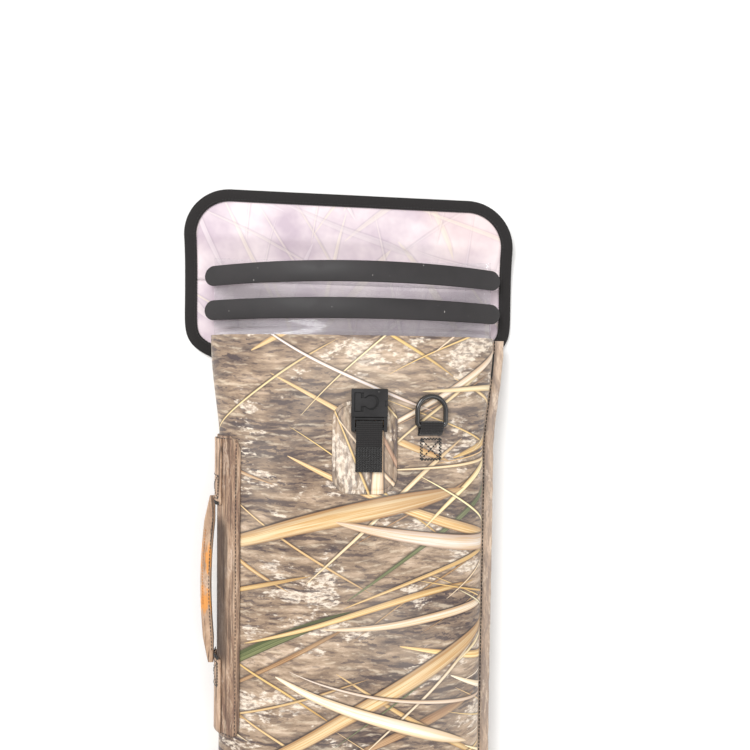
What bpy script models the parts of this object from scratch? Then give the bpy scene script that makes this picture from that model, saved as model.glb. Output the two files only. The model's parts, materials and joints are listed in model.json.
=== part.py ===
"""Roll-top padded field case for a long gun, lying open on its back.

The case is a flat padded sleeve. Its mouth has a clear film collar with two stiffener strips, rolled down to
close, and a bound flap behind it that folds over the roll and meets the strap buckle on the front.

Lengths are in metres. Everything is laid out from the middle of the mouth: x across the case, v along it
(positive beyond the mouth, negative towards the muzzle end) and z up from the floor. The mouth and flap frame
empties carry that layout into the row frame, whose origin is the centre of the whole object's footprint.
"""

from math import atan2, cos, pi, radians, sin, sqrt

import bmesh
import bpy
from mathutils import Matrix, Vector

MM = 0.001
GAP = 0.3 * MM  # between pieces that touch

# Driving dimensions
BODY_LENGTH = 1.320
FLAP_REACH = 0.118
FLAP_HALF_WIDTH = 0.1355
BOOT_REACH = 0.8 * MM  # the boot's fabric beyond the body
Y_MOUTH = (BODY_LENGTH + BOOT_REACH - FLAP_REACH) / 2

CASE_SHIFT = 0.0035  # the body lies this far to the right of the flap's middle

SHELL = 1.2 * MM
FOAM = 6.0 * MM
LINING = 0.8 * MM
FILM = 0.6 * MM
FOAM_INSET = SHELL + 2 * GAP
LINING_INSET = FOAM_INSET + FOAM + 2 * GAP
FILM_INSET = SHELL + GAP
PADDING = (-0.026, -1.272)
SHELL_END = -1.280

# Outline of the padded tube at stations along it: (v, value)
HALF_WIDTH = ((0.064, 0.1145), (0, 0.114), (-0.09, 0.1045), (-0.33, 0.103), (-1.10, 0.088), (-1.32, 0.082))
SEAM_HEIGHT = ((0.064, 0.0125), (0, 0.0150), (-0.07, 0.0230), (-0.90, 0.0230), (-1.25, 0.0190), (-1.32, 0.0190))
CROWN_HEIGHT = ((0.064, 0.0570), (0, 0.0525), (-0.045, 0.0580), (-0.45, 0.0580), (-1.10, 0.0450), (-1.32, 0.0430))
FLOOR_CLEARANCE = ((0.064, 0.0068), (0, 0.0030), (-0.02, 0.0030), (-0.06, 0), (-1.19, 0), (-1.24, 0.0018))
CROWN_POWER_X = ((0.064, 1.0), (0.011, 1.0), (0, 0.77))
CROWN_POWER_Z = ((0.064, 2.0), (0.011, 2.0), (0, 0.77))
BOTTOM_CORNER = 0.026
END_RADIUS = 0.040
END_LIMIT = 0.985  # where the rounded end is cut off, as a share of its radius

# Closing pieces
STRIP_WIDTH = 0.016
STRIP_THICKNESS = 1.8 * MM
STRIP_HALF_LENGTH = 0.121
STRIP_END_HEIGHT = 0.0095
STRIP_STARTS = {"lower": 0.0126, "upper": 0.0402}
STRIP_CLEARANCE = 0.9 * MM
FILM_TOP = {"front": 0.0565, "back": 0.0635}
FILM_TUCK = -0.012
FOLD_HEIGHT = 0.0585
FOLDS = {"lower": 0.0062, "upper": 0.0344}
FILM_FOLD_GAP = 0.4 * MM

# Flap
FLAP_ROOT_FOLD = 0.009
FLAP_TIP_FOLD = 0.079
FLAP_SEWN_AT = -0.017
FLAP_CORNER = 0.038
FLAP_LEVEL_LOW = 1.75 * MM
FLAP_LEVEL_HIGH = 7.60 * MM
PANEL = 1.2 * MM
BINDING_WIDTH = 0.010
BINDING_HALF_THICKNESS = 1.6 * MM
BINDING_WALL = 0.7 * MM
BINDING_WEB = 1.0 * MM
HEM_INSET = 3.0 * MM  # enough for the hem's slanting edge to stay clear of the binding's web
HEM_EDGE = ((0.134, 0.0087), (0.1325, 0.001), (0.126, -0.009), (0.113, FLAP_SEWN_AT))

# Webbing, buckles and rings
WEBBING = 1.2 * MM
FLAP_STRAP_FOLD = (0.1170, 2.75 * MM)  # v and z of the fold
FLAP_BUCKLE_SIZE = (0.0262, 0.0190, 0.0046)
BUCKLE_X = 0.012
STRAP_WIDTH = 0.020
PATCH_SIZE = (0.049, 0.070)
PATCH_CENTRE = (BUCKLE_X - 0.003, -0.085)
PATCH_CORNER = 0.014
PATCH_THICKNESS = 1.5 * MM
PATCH_LEVEL = 0.0583
STRAP_FOLD_V = -0.083
STRAP_END_V = -0.103
BAR_V = -0.070
BAR_RADIUS = 1.5 * MM
BUCKLE_SIZE = (0.0272, 0.0212, 0.0070)
BUCKLE_TOP_V = -0.0403
LEG_WIDTH = 3.0 * MM
SLIDER_TRAVEL = 1.5 * MM
RING_X = 0.0587
RING_BAR_VS = {"upper": -0.0677, "lower": -1.060}
RING_HALF_WIDTH = 0.011
RING_RISE = 0.022
RING_WIRE = 1.8 * MM
TAB_WIDTH = 0.0178
TAB_SLIT_REACH = 0.0076

# Carry handle, on the left side
HANDLE_PATCH = (-0.078, -0.309)
ANCHORS = {"upper": (-0.080, -0.1315), "lower": (-0.2505, -0.307)}
HANDLE_STANDOFF = 0.8 * MM
HANDLE_PATCH_THICKNESS = 1.0 * MM
GRIP = (-0.1325, -0.2495)
GRIP_AXIS = (-0.1090, 0.031)
GRIP_BOW = 0.00445
GRIP_WIDTH = 0.0085
GRIP_THICKNESS = 0.0050


def between(stations, v):
    """The value at v of a list of (v, value) stations, eased smoothly from one station to the next."""
    ordered = sorted(stations)
    if v <= ordered[0][0]:
        return ordered[0][1]
    for (low, first), (high, second) in zip(ordered, ordered[1:]):
        if v <= high:
            share = (v - low) / (high - low)
            return first + (second - first) * share * share * (3 - 2 * share)
    return ordered[-1][1]


def end_rounding(v):
    """1 along the body, falling to almost 0 at the muzzle end, as a quarter circle falls."""
    share = max(0.0, (END_RADIUS - BODY_LENGTH - v) / END_RADIUS)
    return sqrt(max(0.0, 1 - min(share, END_LIMIT) ** 2))


def section_sizes(v):
    """(half width, seam height, crown height above the seam, lowest height, bottom corner) at v."""
    rounding = end_rounding(v)
    seam = between(SEAM_HEIGHT, v)
    half_width = between(HALF_WIDTH, v) - END_RADIUS * (1 - rounding)
    rise = (between(CROWN_HEIGHT, v) - seam) * rounding
    lowest = seam - (seam - between(FLOOR_CLEARANCE, v)) * rounding
    return half_width, seam, rise, lowest, BOTTOM_CORNER


def front_outline(v, inset=0.0, steps=20, seam_gap=GAP / 2):
    """Front half of the section at v, as (x, z) from the left seam over the crown to the right seam."""
    half_width, seam, rise, _, _ = section_sizes(v)
    power_x = between(CROWN_POWER_X, v)
    power_z = between(CROWN_POWER_Z, v)
    points = []
    for i in range(steps + 1):
        angle = pi * i / steps
        across = abs(cos(angle)) ** power_x * (-1 if cos(angle) > 0 else 1)
        up = max(0.0, sin(angle)) ** power_z
        points.append(((half_width - inset) * across, seam + seam_gap + (rise - inset - seam_gap) * up))
    return points


def back_outline(v, inset=0.0, corner_steps=6, seam_gap=GAP / 2):
    """Back half of the section at v, as (x, z) from the left seam along the flat bottom to the right seam."""
    half_width, seam, _, lowest, corner = section_sizes(v)
    top = seam - seam_gap
    left = []
    for i in range(corner_steps + 1):
        angle = pi / 2 * (1 - i / corner_steps)
        across = half_width - corner + (corner - inset) * sin(angle)
        left.append((-across, top - (top - lowest - inset) * cos(angle)))
    return left + [(0.0, lowest + inset)] + [(-x, z) for x, z in reversed(left)]


def stations_between(start, end):
    """Places along the body where its section is drawn, closer together where it changes quickly."""
    steady = (0.0348, 0.011, 0.0058, 0, FILM_TUCK, PADDING[0], -0.04, -0.065, -0.09, -0.13, -0.2, -0.33, -0.5, -0.7)
    tapering = (-0.9, -1.1, -1.16, -1.19, -1.215, -1.24, -1.262, PADDING[1])
    rounded = [-BODY_LENGTH + END_RADIUS * (1 - sin(radians(a))) for a in (0, 20, 38, 53, 65, 74, 80)]
    inside = [v for v in (*steady, *tapering, *rounded) if end + 0.001 < v < start - 0.001]
    return [start, *inside, end]


# Scene, materials and mesh helpers


def clear_scene():
    for obj in list(bpy.data.objects):
        bpy.data.objects.remove(obj, do_unlink=True)


def new_collection(name):
    collection = bpy.data.collections.new(name)
    bpy.context.scene.collection.children.link(collection)
    return collection


def new_material(name, colour, roughness, metallic=0.0, alpha=1.0):
    material = bpy.data.materials.new(name)
    material.use_nodes = True
    shader = material.node_tree.nodes["Principled BSDF"]
    shader.inputs["Base Color"].default_value = (*colour, 1)
    shader.inputs["Roughness"].default_value = roughness
    shader.inputs["Metallic"].default_value = metallic
    shader.inputs["Alpha"].default_value = alpha
    return material


class Workshop:
    """Holds the collections, the materials and the two layout frames, and adds pieces to them."""

    def __init__(self):
        clear_scene()
        self.parts = new_collection("roll_top_field_case")
        self.cutters = new_collection("cutters")
        self.materials = {
            "printed_shell": new_material("printed_shell", (0.42, 0.33, 0.25), 0.55),
            "bark_print": new_material("bark_print", (0.33, 0.22, 0.15), 0.6),
            "flap_inner": new_material("flap_inner", (0.80, 0.70, 0.68), 0.45),
            "foam": new_material("foam", (0.08, 0.08, 0.08), 0.9),
            "lining": new_material("lining", (0.60, 0.52, 0.50), 0.6),
            "clear_film": new_material("clear_film", (0.9, 0.9, 0.9), 0.1, alpha=0.3),
            "strip_rubber": new_material("strip_rubber", (0.04, 0.04, 0.04), 0.5),
            "black_webbing": new_material("black_webbing", (0.03, 0.03, 0.03), 0.8),
            "black_plastic": new_material("black_plastic", (0.03, 0.03, 0.03), 0.35),
            "coated_steel": new_material("coated_steel", (0.05, 0.05, 0.05), 0.3, 0.6),
            "magnet": new_material("magnet", (0.5, 0.5, 0.5), 0.3, 1.0),
        }
        self.frame = self.empty("mouth_frame", (CASE_SHIFT, Y_MOUTH, 0))
        self.flap_frame = self.empty("flap_frame", (0, Y_MOUTH, 0))

    def empty(self, name, location, parent=None, tilt=0.0):
        pivot = bpy.data.objects.new(name, None)
        pivot.empty_display_size = 0.02
        self.parts.objects.link(pivot)
        pivot.location = location
        pivot.rotation_euler = (0, tilt, 0)
        pivot.parent = parent
        return pivot

    def add(self, obj, material, parent=None):
        """Puts a piece in the parts collection. Its data is already in its parent's own frame."""
        for collection in list(obj.users_collection):
            collection.objects.unlink(obj)
        self.parts.objects.link(obj)
        obj.data.materials.clear()
        obj.data.materials.append(self.materials[material])
        obj.parent = parent or self.frame
        return obj

    def as_cutter(self, obj, parent=None):
        for collection in list(obj.users_collection):
            collection.objects.unlink(obj)
        self.cutters.objects.link(obj)
        obj.hide_render = True
        obj.display_type = "WIRE"
        obj.parent = parent or self.frame
        return obj


def mesh_object(name, points, faces, smooth_below=None):
    mesh = bpy.data.meshes.new(name)
    mesh.from_pydata([tuple(p) for p in points], [], faces)
    mesh.update()
    if smooth_below is not None:
        mesh.shade_smooth()
        mesh.set_sharp_from_angle(angle=radians(smooth_below))
    obj = bpy.data.objects.new(name, mesh)
    bpy.context.scene.collection.objects.link(obj)
    return obj


def sheet(name, rows, thickness):
    """A shell from a grid of points, thickened outwards with Solidify."""
    width = len(rows[0])
    faces = []
    for i in range(len(rows) - 1):
        for j in range(width - 1):
            a = i * width + j
            faces.append((a, a + 1, a + width + 1, a + width))
    obj = mesh_object(name, [p for row in rows for p in row], faces, smooth_below=40)
    solidify = obj.modifiers.new("thickness", "SOLIDIFY")
    solidify.thickness = thickness
    solidify.offset = 1
    solidify.use_even_offset = True
    return obj


def loft(name, rings, smooth_below=40):
    """A closed solid through rings of equally many points, with a flat cap on each end."""
    count = len(rings[0])
    faces = [tuple(range(count))[::-1]]
    for i in range(len(rings) - 1):
        for j in range(count):
            k = (j + 1) % count
            faces.append((i * count + j, i * count + k, (i + 1) * count + k, (i + 1) * count + j))
    faces.append(tuple((len(rings) - 1) * count + j for j in range(count)))
    obj = mesh_object(name, [p for ring in rings for p in ring], faces, smooth_below)
    face_out(obj)
    return obj


def face_out(obj):
    """Recalculates a closed mesh's normals so that they point outwards."""
    shape = bmesh.new()
    shape.from_mesh(obj.data)
    bmesh.ops.recalc_face_normals(shape, faces=shape.faces)
    if shape.calc_volume(signed=True) < 0:
        bmesh.ops.reverse_faces(shape, faces=shape.faces)
    shape.to_mesh(obj.data)
    shape.free()


def plate(name, outlines, thickness, turn=None):
    """A flat plate from a 2D curve. The first outline is its edge and any others are holes through it.

    turn is a matrix that carries the plate from the XY plane, with z = 0 at mid thickness, to its place.
    """
    curve = bpy.data.curves.new(name, "CURVE")
    curve.dimensions = "2D"
    curve.fill_mode = "BOTH"
    curve.extrude = thickness / 2
    for outline in outlines:
        spline = curve.splines.new("POLY")
        spline.points.add(len(outline) - 1)
        for point, (x, y) in zip(spline.points, outline):
            point.co = (x, y, 0, 1)
        spline.use_cyclic_u = True
    flat = bpy.data.objects.new(name, curve)
    bpy.context.scene.collection.objects.link(flat)
    bpy.context.view_layer.update()
    mesh = bpy.data.meshes.new_from_object(flat.evaluated_get(bpy.context.evaluated_depsgraph_get()))
    bpy.data.objects.remove(flat)
    shape = bmesh.new()
    shape.from_mesh(mesh)
    bmesh.ops.remove_doubles(shape, verts=shape.verts, dist=0.01 * MM)
    bmesh.ops.transform(shape, matrix=turn or Matrix.Identity(4), verts=shape.verts)
    bmesh.ops.recalc_face_normals(shape, faces=shape.faces)
    shape.to_mesh(mesh)
    shape.free()
    obj = bpy.data.objects.new(name, mesh)
    bpy.context.scene.collection.objects.link(obj)
    return obj


def block(name, size, centre, bevel=0.0):
    """A box with its edges rounded by bevel, centred in its parent's frame."""
    shape = bmesh.new()
    bmesh.ops.create_cube(shape, size=1.0)
    bmesh.ops.scale(shape, vec=size, verts=shape.verts)
    bmesh.ops.translate(shape, vec=centre, verts=shape.verts)
    mesh = bpy.data.meshes.new(name)
    shape.to_mesh(mesh)
    shape.free()
    obj = bpy.data.objects.new(name, mesh)
    bpy.context.scene.collection.objects.link(obj)
    if bevel:
        rounded = obj.modifiers.new("rounded_edges", "BEVEL")
        rounded.width = bevel
        rounded.segments = 2
        rounded.limit_method = "ANGLE"
    return obj


def disc(name, radius, height, centre, sides=20, along="Z"):
    shape = bmesh.new()
    bmesh.ops.create_cone(shape, cap_ends=True, segments=sides, radius1=radius, radius2=radius, depth=height)
    if along == "X":
        bmesh.ops.rotate(shape, matrix=Matrix.Rotation(pi / 2, 3, "Y"), verts=shape.verts)
    bmesh.ops.translate(shape, vec=centre, verts=shape.verts)
    mesh = bpy.data.meshes.new(name)
    shape.to_mesh(mesh)
    shape.free()
    obj = bpy.data.objects.new(name, mesh)
    bpy.context.scene.collection.objects.link(obj)
    return obj


def boolean(obj, other, operation="DIFFERENCE"):
    modifier = obj.modifiers.new(operation.lower(), "BOOLEAN")
    modifier.operation = operation
    modifier.object = other


def rounded_rectangle(size, corner, centre=(0, 0), steps=5):
    half_x, half_y = size[0] / 2 - corner, size[1] / 2 - corner
    points = []
    for quarter, (side_x, side_y) in enumerate(((1, 1), (-1, 1), (-1, -1), (1, -1))):
        for i in range(steps + 1):
            angle = pi / 2 * (quarter + i / steps)
            x = side_x * half_x + corner * cos(angle)
            y = side_y * half_y + corner * sin(angle)
            points.append((centre[0] + x, centre[1] + y))
    return points


# Padded body


def layer(shop, name, side, start, end, inset, thickness, material):
    """One layer of the padded tube, front or back: shell, foam, lining or film."""
    outline = front_outline if side == "front" else back_outline
    rings = []
    for v in stations_between(start, end):
        wall = outline(v, inset) + outline(v, inset + thickness)[::-1]
        rings.append([(x, v, z) for x, z in wall])
    return shop.add(loft(name, rings), material)


def make_body(shop):
    front = layer(shop, "front_shell", "front", 0, SHELL_END, 0, SHELL, "printed_shell")
    layer(shop, "back_shell", "back", 0, SHELL_END, 0, SHELL, "printed_shell")
    for side in ("front", "back"):
        layer(shop, f"{side}_foam", side, *PADDING, FOAM_INSET, FOAM, "foam")
        layer(shop, f"{side}_lining", side, *PADDING, LINING_INSET, LINING, "lining")
    return front


def make_collar(shop):
    """Clear film tucked in the mouth, and its two free lengths, each with a stiffener strip, that roll down."""
    lower, upper = FOLDS["lower"], FOLDS["upper"]
    lower_origin, upper_origin = Vector((0, lower, FOLD_HEIGHT)), Vector((0, upper, FOLD_HEIGHT))
    lower_axis = shop.empty("collar_fold_lower_axis", lower_origin, shop.frame)
    upper_axis = shop.empty("collar_fold_upper_axis", upper_origin - lower_origin, lower_axis)
    for side in ("front", "back"):
        spans = (
            ("tuck", lower - FILM_FOLD_GAP, FILM_TUCK, Vector(), shop.frame),
            ("lower", upper - FILM_FOLD_GAP, lower + FILM_FOLD_GAP, lower_origin, lower_axis),
            ("upper", FILM_TOP[side], upper + FILM_FOLD_GAP, upper_origin, upper_axis),
        )
        for name, start, end, origin, parent in spans:
            film = layer(shop, f"film_{side}_{name}", side, start, end, FILM_INSET, FILM, "clear_film")
            moved(film, origin).parent = parent
    make_strip(shop, "lower", lower_axis, lower_origin)
    make_strip(shop, "upper", upper_axis, upper_origin)


def make_muzzle_boot(shop):
    """A cup of the bark print fabric over the muzzle end."""
    end = -BODY_LENGTH + END_RADIUS * (1 - END_LIMIT)
    rings = []
    for v in stations_between(-1.262, end):
        front, back = front_outline(v, -GAP, seam_gap=0), back_outline(v, -GAP, seam_gap=0)
        rings.append([(x, v, z) for x, z in front + back[-2:0:-1]])
    count = len(rings[0])
    faces = []
    for i in range(len(rings) - 1):
        for j in range(count):
            k = (j + 1) % count
            faces.append((i * count + j, (i + 1) * count + j, (i + 1) * count + k, i * count + k))
    faces.append(tuple((len(rings) - 1) * count + j for j in range(count)))
    boot = mesh_object("muzzle_boot", [p for ring in rings for p in ring], faces, smooth_below=40)
    shape = bmesh.new()
    shape.from_mesh(boot.data)
    bmesh.ops.recalc_face_normals(shape, faces=shape.faces)
    shape.to_mesh(boot.data)
    shape.free()
    solidify = boot.modifiers.new("thickness", "SOLIDIFY")
    solidify.thickness = 1.4 * MM
    solidify.offset = 1
    solidify.use_even_offset = True
    shop.add(boot, "bark_print")


def make_side_seam(shop):
    """The sewn flange along the right side, bound in bark print tape."""
    rings = []
    for v in stations_between(-0.001, -1.258):
        half_width, seam, _, _, _ = section_sizes(v)
        inner, outer = half_width + GAP, half_width + 9.8 * MM
        low, high = seam - 1.1 * MM, seam + 1.1 * MM
        rings.append([(inner, v, low), (outer, v, low + 0.2 * MM), (outer, v, high - 0.2 * MM), (inner, v, high)])
    shop.add(loft("side_seam_tape", rings), "bark_print")


def side_strip(v, start_share, end_share, inset, steps=10):
    """(x, z) points along the left side of the section at v.

    A share of -1 is where the bottom's flat starts, 0 the seam and 1 the middle of the crown.
    """
    back = back_outline(v, inset, corner_steps=12, seam_gap=0)[12::-1]
    front = front_outline(v, inset, steps=48, seam_gap=0)[:25]
    line = back + front[1:]
    points = []
    for i in range(steps + 1):
        share = start_share + (end_share - start_share) * i / steps
        along = 12 + share * (12 if share < 0 else 24)
        low = min(int(along), len(line) - 2)
        rest = along - low
        first, second = line[low], line[low + 1]
        points.append((first[0] + (second[0] - first[0]) * rest, first[1] + (second[1] - first[1]) * rest))
    return points


def make_handle(shop):
    """The wrap patch on the left side, the webbing sewn to it, and the free grip between its two ends."""
    rows = []
    steps = 9
    for i in range(steps + 1):
        v = HANDLE_PATCH[1] + (HANDLE_PATCH[0] - HANDLE_PATCH[1]) * i / steps
        rows.append([(x, v, z) for x, z in side_strip(v, -0.45, 0.46, -HANDLE_STANDOFF)])
    shop.add(sheet("handle_wrap_patch", rows, HANDLE_PATCH_THICKNESS), "bark_print")
    webbing_standoff = HANDLE_STANDOFF + HANDLE_PATCH_THICKNESS + 2 * GAP
    for name, (start, end) in ANCHORS.items():
        rows = []
        for i in range(5):
            v = end + (start - end) * i / 4
            rows.append([(x, v, z) for x, z in side_strip(v, -0.10, 0.26, -webbing_standoff, steps=6)])
        shop.add(sheet(f"handle_webbing_{name}", rows, WEBBING), "bark_print")
    pivot = shop.empty("handle_axis", (GRIP_AXIS[0], (GRIP[0] + GRIP[1]) / 2, GRIP_AXIS[1]), shop.frame)
    rings = []
    stations = 16
    for i in range(stations + 1):
        share = i / stations
        fullness = min(1.0, sin(pi * share) * 2.2)
        width = 4.2 * MM + (GRIP_WIDTH - 4.2 * MM) * fullness
        thick = 4.2 * MM + (GRIP_THICKNESS - 4.2 * MM) * fullness
        centre_x = -GRIP_BOW * sin(pi * share) ** 0.8 if 0 < share < 1 else 0.0
        v = (0.5 - share) * (GRIP[0] - GRIP[1])
        ring = rounded_rectangle((width, thick), thick * 0.42, (centre_x, 0), steps=2)
        rings.append([(x, v, z) for x, z in ring])
    shop.add(loft("handle_grip", rings, smooth_below=60), "bark_print", pivot)


# Closing strips and flap


def make_strip(shop, name, axis, origin):
    """A stiffener strip with round ends, bowed over what the mouth holds."""
    start = STRIP_STARTS[name]
    middle = start + STRIP_WIDTH / 2
    crown = between(CROWN_HEIGHT, start + STRIP_WIDTH) - FILM_INSET + STRIP_CLEARANCE
    radius = STRIP_WIDTH / 2
    rings = []
    steps = 30
    for i in range(steps + 1):
        share = -cos(pi * i / steps)
        x = STRIP_HALF_LENGTH * share
        inset = min(radius, STRIP_HALF_LENGTH - abs(x))
        half = max(0.6 * MM, sqrt(radius**2 - (radius - inset) ** 2))
        z = STRIP_END_HEIGHT + (crown - STRIP_END_HEIGHT) * (1 - share * share)
        corners = ((-half, 0), (half, 0), (half, STRIP_THICKNESS), (-half, STRIP_THICKNESS))
        rings.append([Vector((x, middle + dv, z + dz)) - origin for dv, dz in corners])
    shop.add(loft(f"stiffener_strip_{name}", rings), "strip_rubber", axis)


def flap_level(v):
    """Height of the middle of the flap's thickness above the floor."""
    share = min(1.0, max(0.0, (v - FLAP_ROOT_FOLD) / (FLAP_TIP_FOLD - FLAP_ROOT_FOLD)))
    return FLAP_LEVEL_LOW + (FLAP_LEVEL_HIGH - FLAP_LEVEL_LOW) * share


def tip_edge(inset=0.0, steps=8):
    """Edge of the flap's free end, from its left fold corner round to its right one, as (x, v)."""
    radius = FLAP_CORNER - inset
    half_width, top = FLAP_HALF_WIDTH - inset, FLAP_REACH - inset
    corner_x, corner_v = half_width - radius, top - radius
    left = [(-half_width, FLAP_TIP_FOLD + GAP)]
    for i in range(1, steps + 1):
        angle = pi / 2 * i / steps
        left.append((-corner_x - radius * cos(angle), corner_v + radius * sin(angle)))
    return left + [(-x, v) for x, v in reversed(left)]


def binding_section():
    """The folded tape's section, as (distance in from the flap's edge, height from its middle)."""
    crown, edge = BINDING_HALF_THICKNESS, BINDING_HALF_THICKNESS - 0.3 * MM
    arm, flare = crown - BINDING_WALL, 0.12 * MM
    middle = BINDING_WIDTH / 2
    under = ((0, -edge), (middle, -crown), (BINDING_WIDTH, -crown + 0.1 * MM), (BINDING_WIDTH, -arm - flare))
    over = ((BINDING_WIDTH, arm + flare), (BINDING_WIDTH, crown - 0.1 * MM), (middle, crown), (0, edge))
    return (*under, (BINDING_WEB, -arm), (BINDING_WEB, arm), *over)


def bind(name, edge):
    """Sweeps the binding's section along an edge of the flap, given as (x, v) with the flap on its right."""
    rings = []
    for i, (x, v) in enumerate(edge):
        before, after = Vector(edge[max(i - 1, 0)]), Vector(edge[min(i + 1, len(edge) - 1)])
        along = (after - before).normalized()
        if i in (0, len(edge) - 1) and abs(along.y) > 0.9:
            along = Vector((0, 1 if along.y > 0 else -1))
        into = Vector((along.y, -along.x))
        level = flap_level(v)
        rings.append([(x + into.x * d, v + into.y * d, level + dz) for d, dz in binding_section()])
    return loft(name, rings)


def moved(obj, origin):
    """Shifts a piece's data so that it reads from its pivot at origin."""
    obj.data.transform(Matrix.Translation(-Vector(origin)))
    return obj


def make_flap(shop):
    """Hem under the body, root panel that rises over the mouth, and tip panel that folds over the roll."""
    edge_inset = BINDING_WEB + GAP
    hem_left = [(-x, v) for x, v in HEM_EDGE]
    hem_outline = [(x + HEM_INSET, v) for x, v in hem_left]
    hem_outline += [(-x, v) for x, v in reversed(hem_outline)]
    turn = Matrix.Translation((0, 0, FLAP_LEVEL_LOW))
    shop.add(plate("flap_hem", [hem_outline], PANEL, turn), "flap_inner", shop.flap_frame)
    shop.add(bind("flap_hem_binding_left", list(reversed(hem_left))), "black_webbing", shop.flap_frame)
    shop.add(bind("flap_hem_binding_right", list(HEM_EDGE)), "black_webbing", shop.flap_frame)

    root_origin = (0, FLAP_ROOT_FOLD, FLAP_LEVEL_LOW + BINDING_HALF_THICKNESS)
    root_axis = shop.empty("flap_root_axis", root_origin, shop.flap_frame)
    start, end = FLAP_ROOT_FOLD + GAP, FLAP_TIP_FOLD - GAP
    half = FLAP_HALF_WIDTH - edge_inset
    rings = []
    for v in (start, end):
        low, high = flap_level(v) - PANEL / 2, flap_level(v) + PANEL / 2
        rings.append([(-half, v, low), (half, v, low), (half, v, high), (-half, v, high)])
    shop.add(moved(loft("flap_root_panel", rings), root_origin), "flap_inner", root_axis)
    left = bind("flap_root_binding_left", [(-FLAP_HALF_WIDTH, start), (-FLAP_HALF_WIDTH, end)])
    right = bind("flap_root_binding_right", [(FLAP_HALF_WIDTH, end), (FLAP_HALF_WIDTH, start)])
    shop.add(moved(left, root_origin), "black_webbing", root_axis)
    shop.add(moved(right, root_origin), "black_webbing", root_axis)

    tip_origin = Vector((0, FLAP_TIP_FOLD, FLAP_LEVEL_HIGH + BINDING_HALF_THICKNESS))
    tip_axis = shop.empty("flap_tip_axis", tip_origin - Vector(root_origin), root_axis)
    panel = plate("flap_tip_panel", [tip_edge(edge_inset)], PANEL, Matrix.Translation((0, 0, FLAP_LEVEL_HIGH)))
    shop.add(moved(panel, tip_origin), "flap_inner", tip_axis)
    shop.add(moved(bind("flap_tip_binding", tip_edge()), tip_origin), "black_webbing", tip_axis)
    make_flap_buckle(shop, tip_axis, tip_origin)


def on_edge(x):
    """Carries a plate drawn as (v, z) in the XY plane to stand across X, centred on x."""
    return Matrix(((0, 0, 1, x), (1, 0, 0, 0), (0, 1, 0, 0), (0, 0, 0, 1)))


def hairpin(bar, inner, tail_end, tail_low, tail_high, side=1, steps=8):
    """Outline and hole of webbing that turns round a bar, in the (v, z) plane.

    It turns on the side of bar away from tail_end, where its two layers come together, from tail_low to tail_high.
    """
    outer = inner + WEBBING
    turn = arc(-pi / 2, pi / 2, steps)
    edge = [(bar[0] + side * outer * cos(a), bar[1] + outer * sin(a)) for a in turn]
    edge += [(tail_end, tail_high), (tail_end, tail_low)]
    join = bar[0] - (bar[0] - tail_end) * 0.45
    hole = [(bar[0] + side * inner * cos(a), bar[1] + inner * sin(a)) for a in turn]
    hole += [(join, (tail_low + tail_high) / 2 + 0.1 * MM), (join, (tail_low + tail_high) / 2 - 0.1 * MM)]
    return [edge, hole]


def arc(start, end, steps):
    return [start + (end - start) * i / steps for i in range(steps + 1)]


def make_flap_buckle(shop, tip_axis, tip_origin):
    """The flap's half of the buckle, with its magnet. Its webbing turns out from under the flap's free edge."""
    strap_x = BUCKLE_X + CASE_SHIFT
    origin = Vector((strap_x, *FLAP_STRAP_FOLD))
    axis = shop.empty("flap_strap_axis", origin - tip_origin, tip_axis)
    fold_v = FLAP_STRAP_FOLD[0]
    sewn_size = (STRAP_WIDTH, 3.4 * MM, 0.8 * MM)
    sewn_level = FLAP_LEVEL_HIGH - BINDING_HALF_THICKNESS - GAP - sewn_size[2] / 2
    sewn = block("flap_strap_sewn_end", sewn_size, (strap_x, fold_v - 2.2 * MM, sewn_level))
    shop.add(moved(sewn, tip_origin), "black_webbing", tip_axis)

    bar = (-6.8 * MM, 0.0)
    outlines = hairpin(bar, 1.3 * MM, -0.5 * MM, -WEBBING - GAP / 2, WEBBING + GAP / 2, side=-1)
    shop.add(plate("flap_strap", outlines, STRAP_WIDTH, on_edge(0)), "black_webbing", axis)
    width, length, height = FLAP_BUCKLE_SIZE
    near = -10.2 * MM
    body = block("flap_buckle_half", FLAP_BUCKLE_SIZE, (0, near - length / 2, 0), bevel=0.6 * MM)
    for side in (-1, 1):
        centre = (side * (width / 2 - 1.3 * MM), near + 2.4 * MM, 0)
        leg = block(f"flap_buckle_leg_{side}", (2.4 * MM, 6.4 * MM, height - 1 * MM), centre)
        boolean(body, shop.as_cutter(leg, axis), "UNION")
    bar_piece = disc("flap_buckle_bar", 1.0 * MM, width - 2.0 * MM, (0, *bar), sides=12, along="X")
    boolean(body, shop.as_cutter(bar_piece, axis), "UNION")
    pocket = disc("flap_magnet_pocket", 4.3 * MM, 3.6 * MM, (0, near - length / 2, height / 2))
    boolean(body, shop.as_cutter(pocket, axis))
    shop.add(body, "black_plastic", axis)
    magnet = disc("flap_buckle_magnet", 4.0 * MM, 1.4 * MM, (0, near - length / 2, height / 2 - 0.8 * MM))
    shop.add(magnet, "magnet", axis)


# Front buckle and rings


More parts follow.
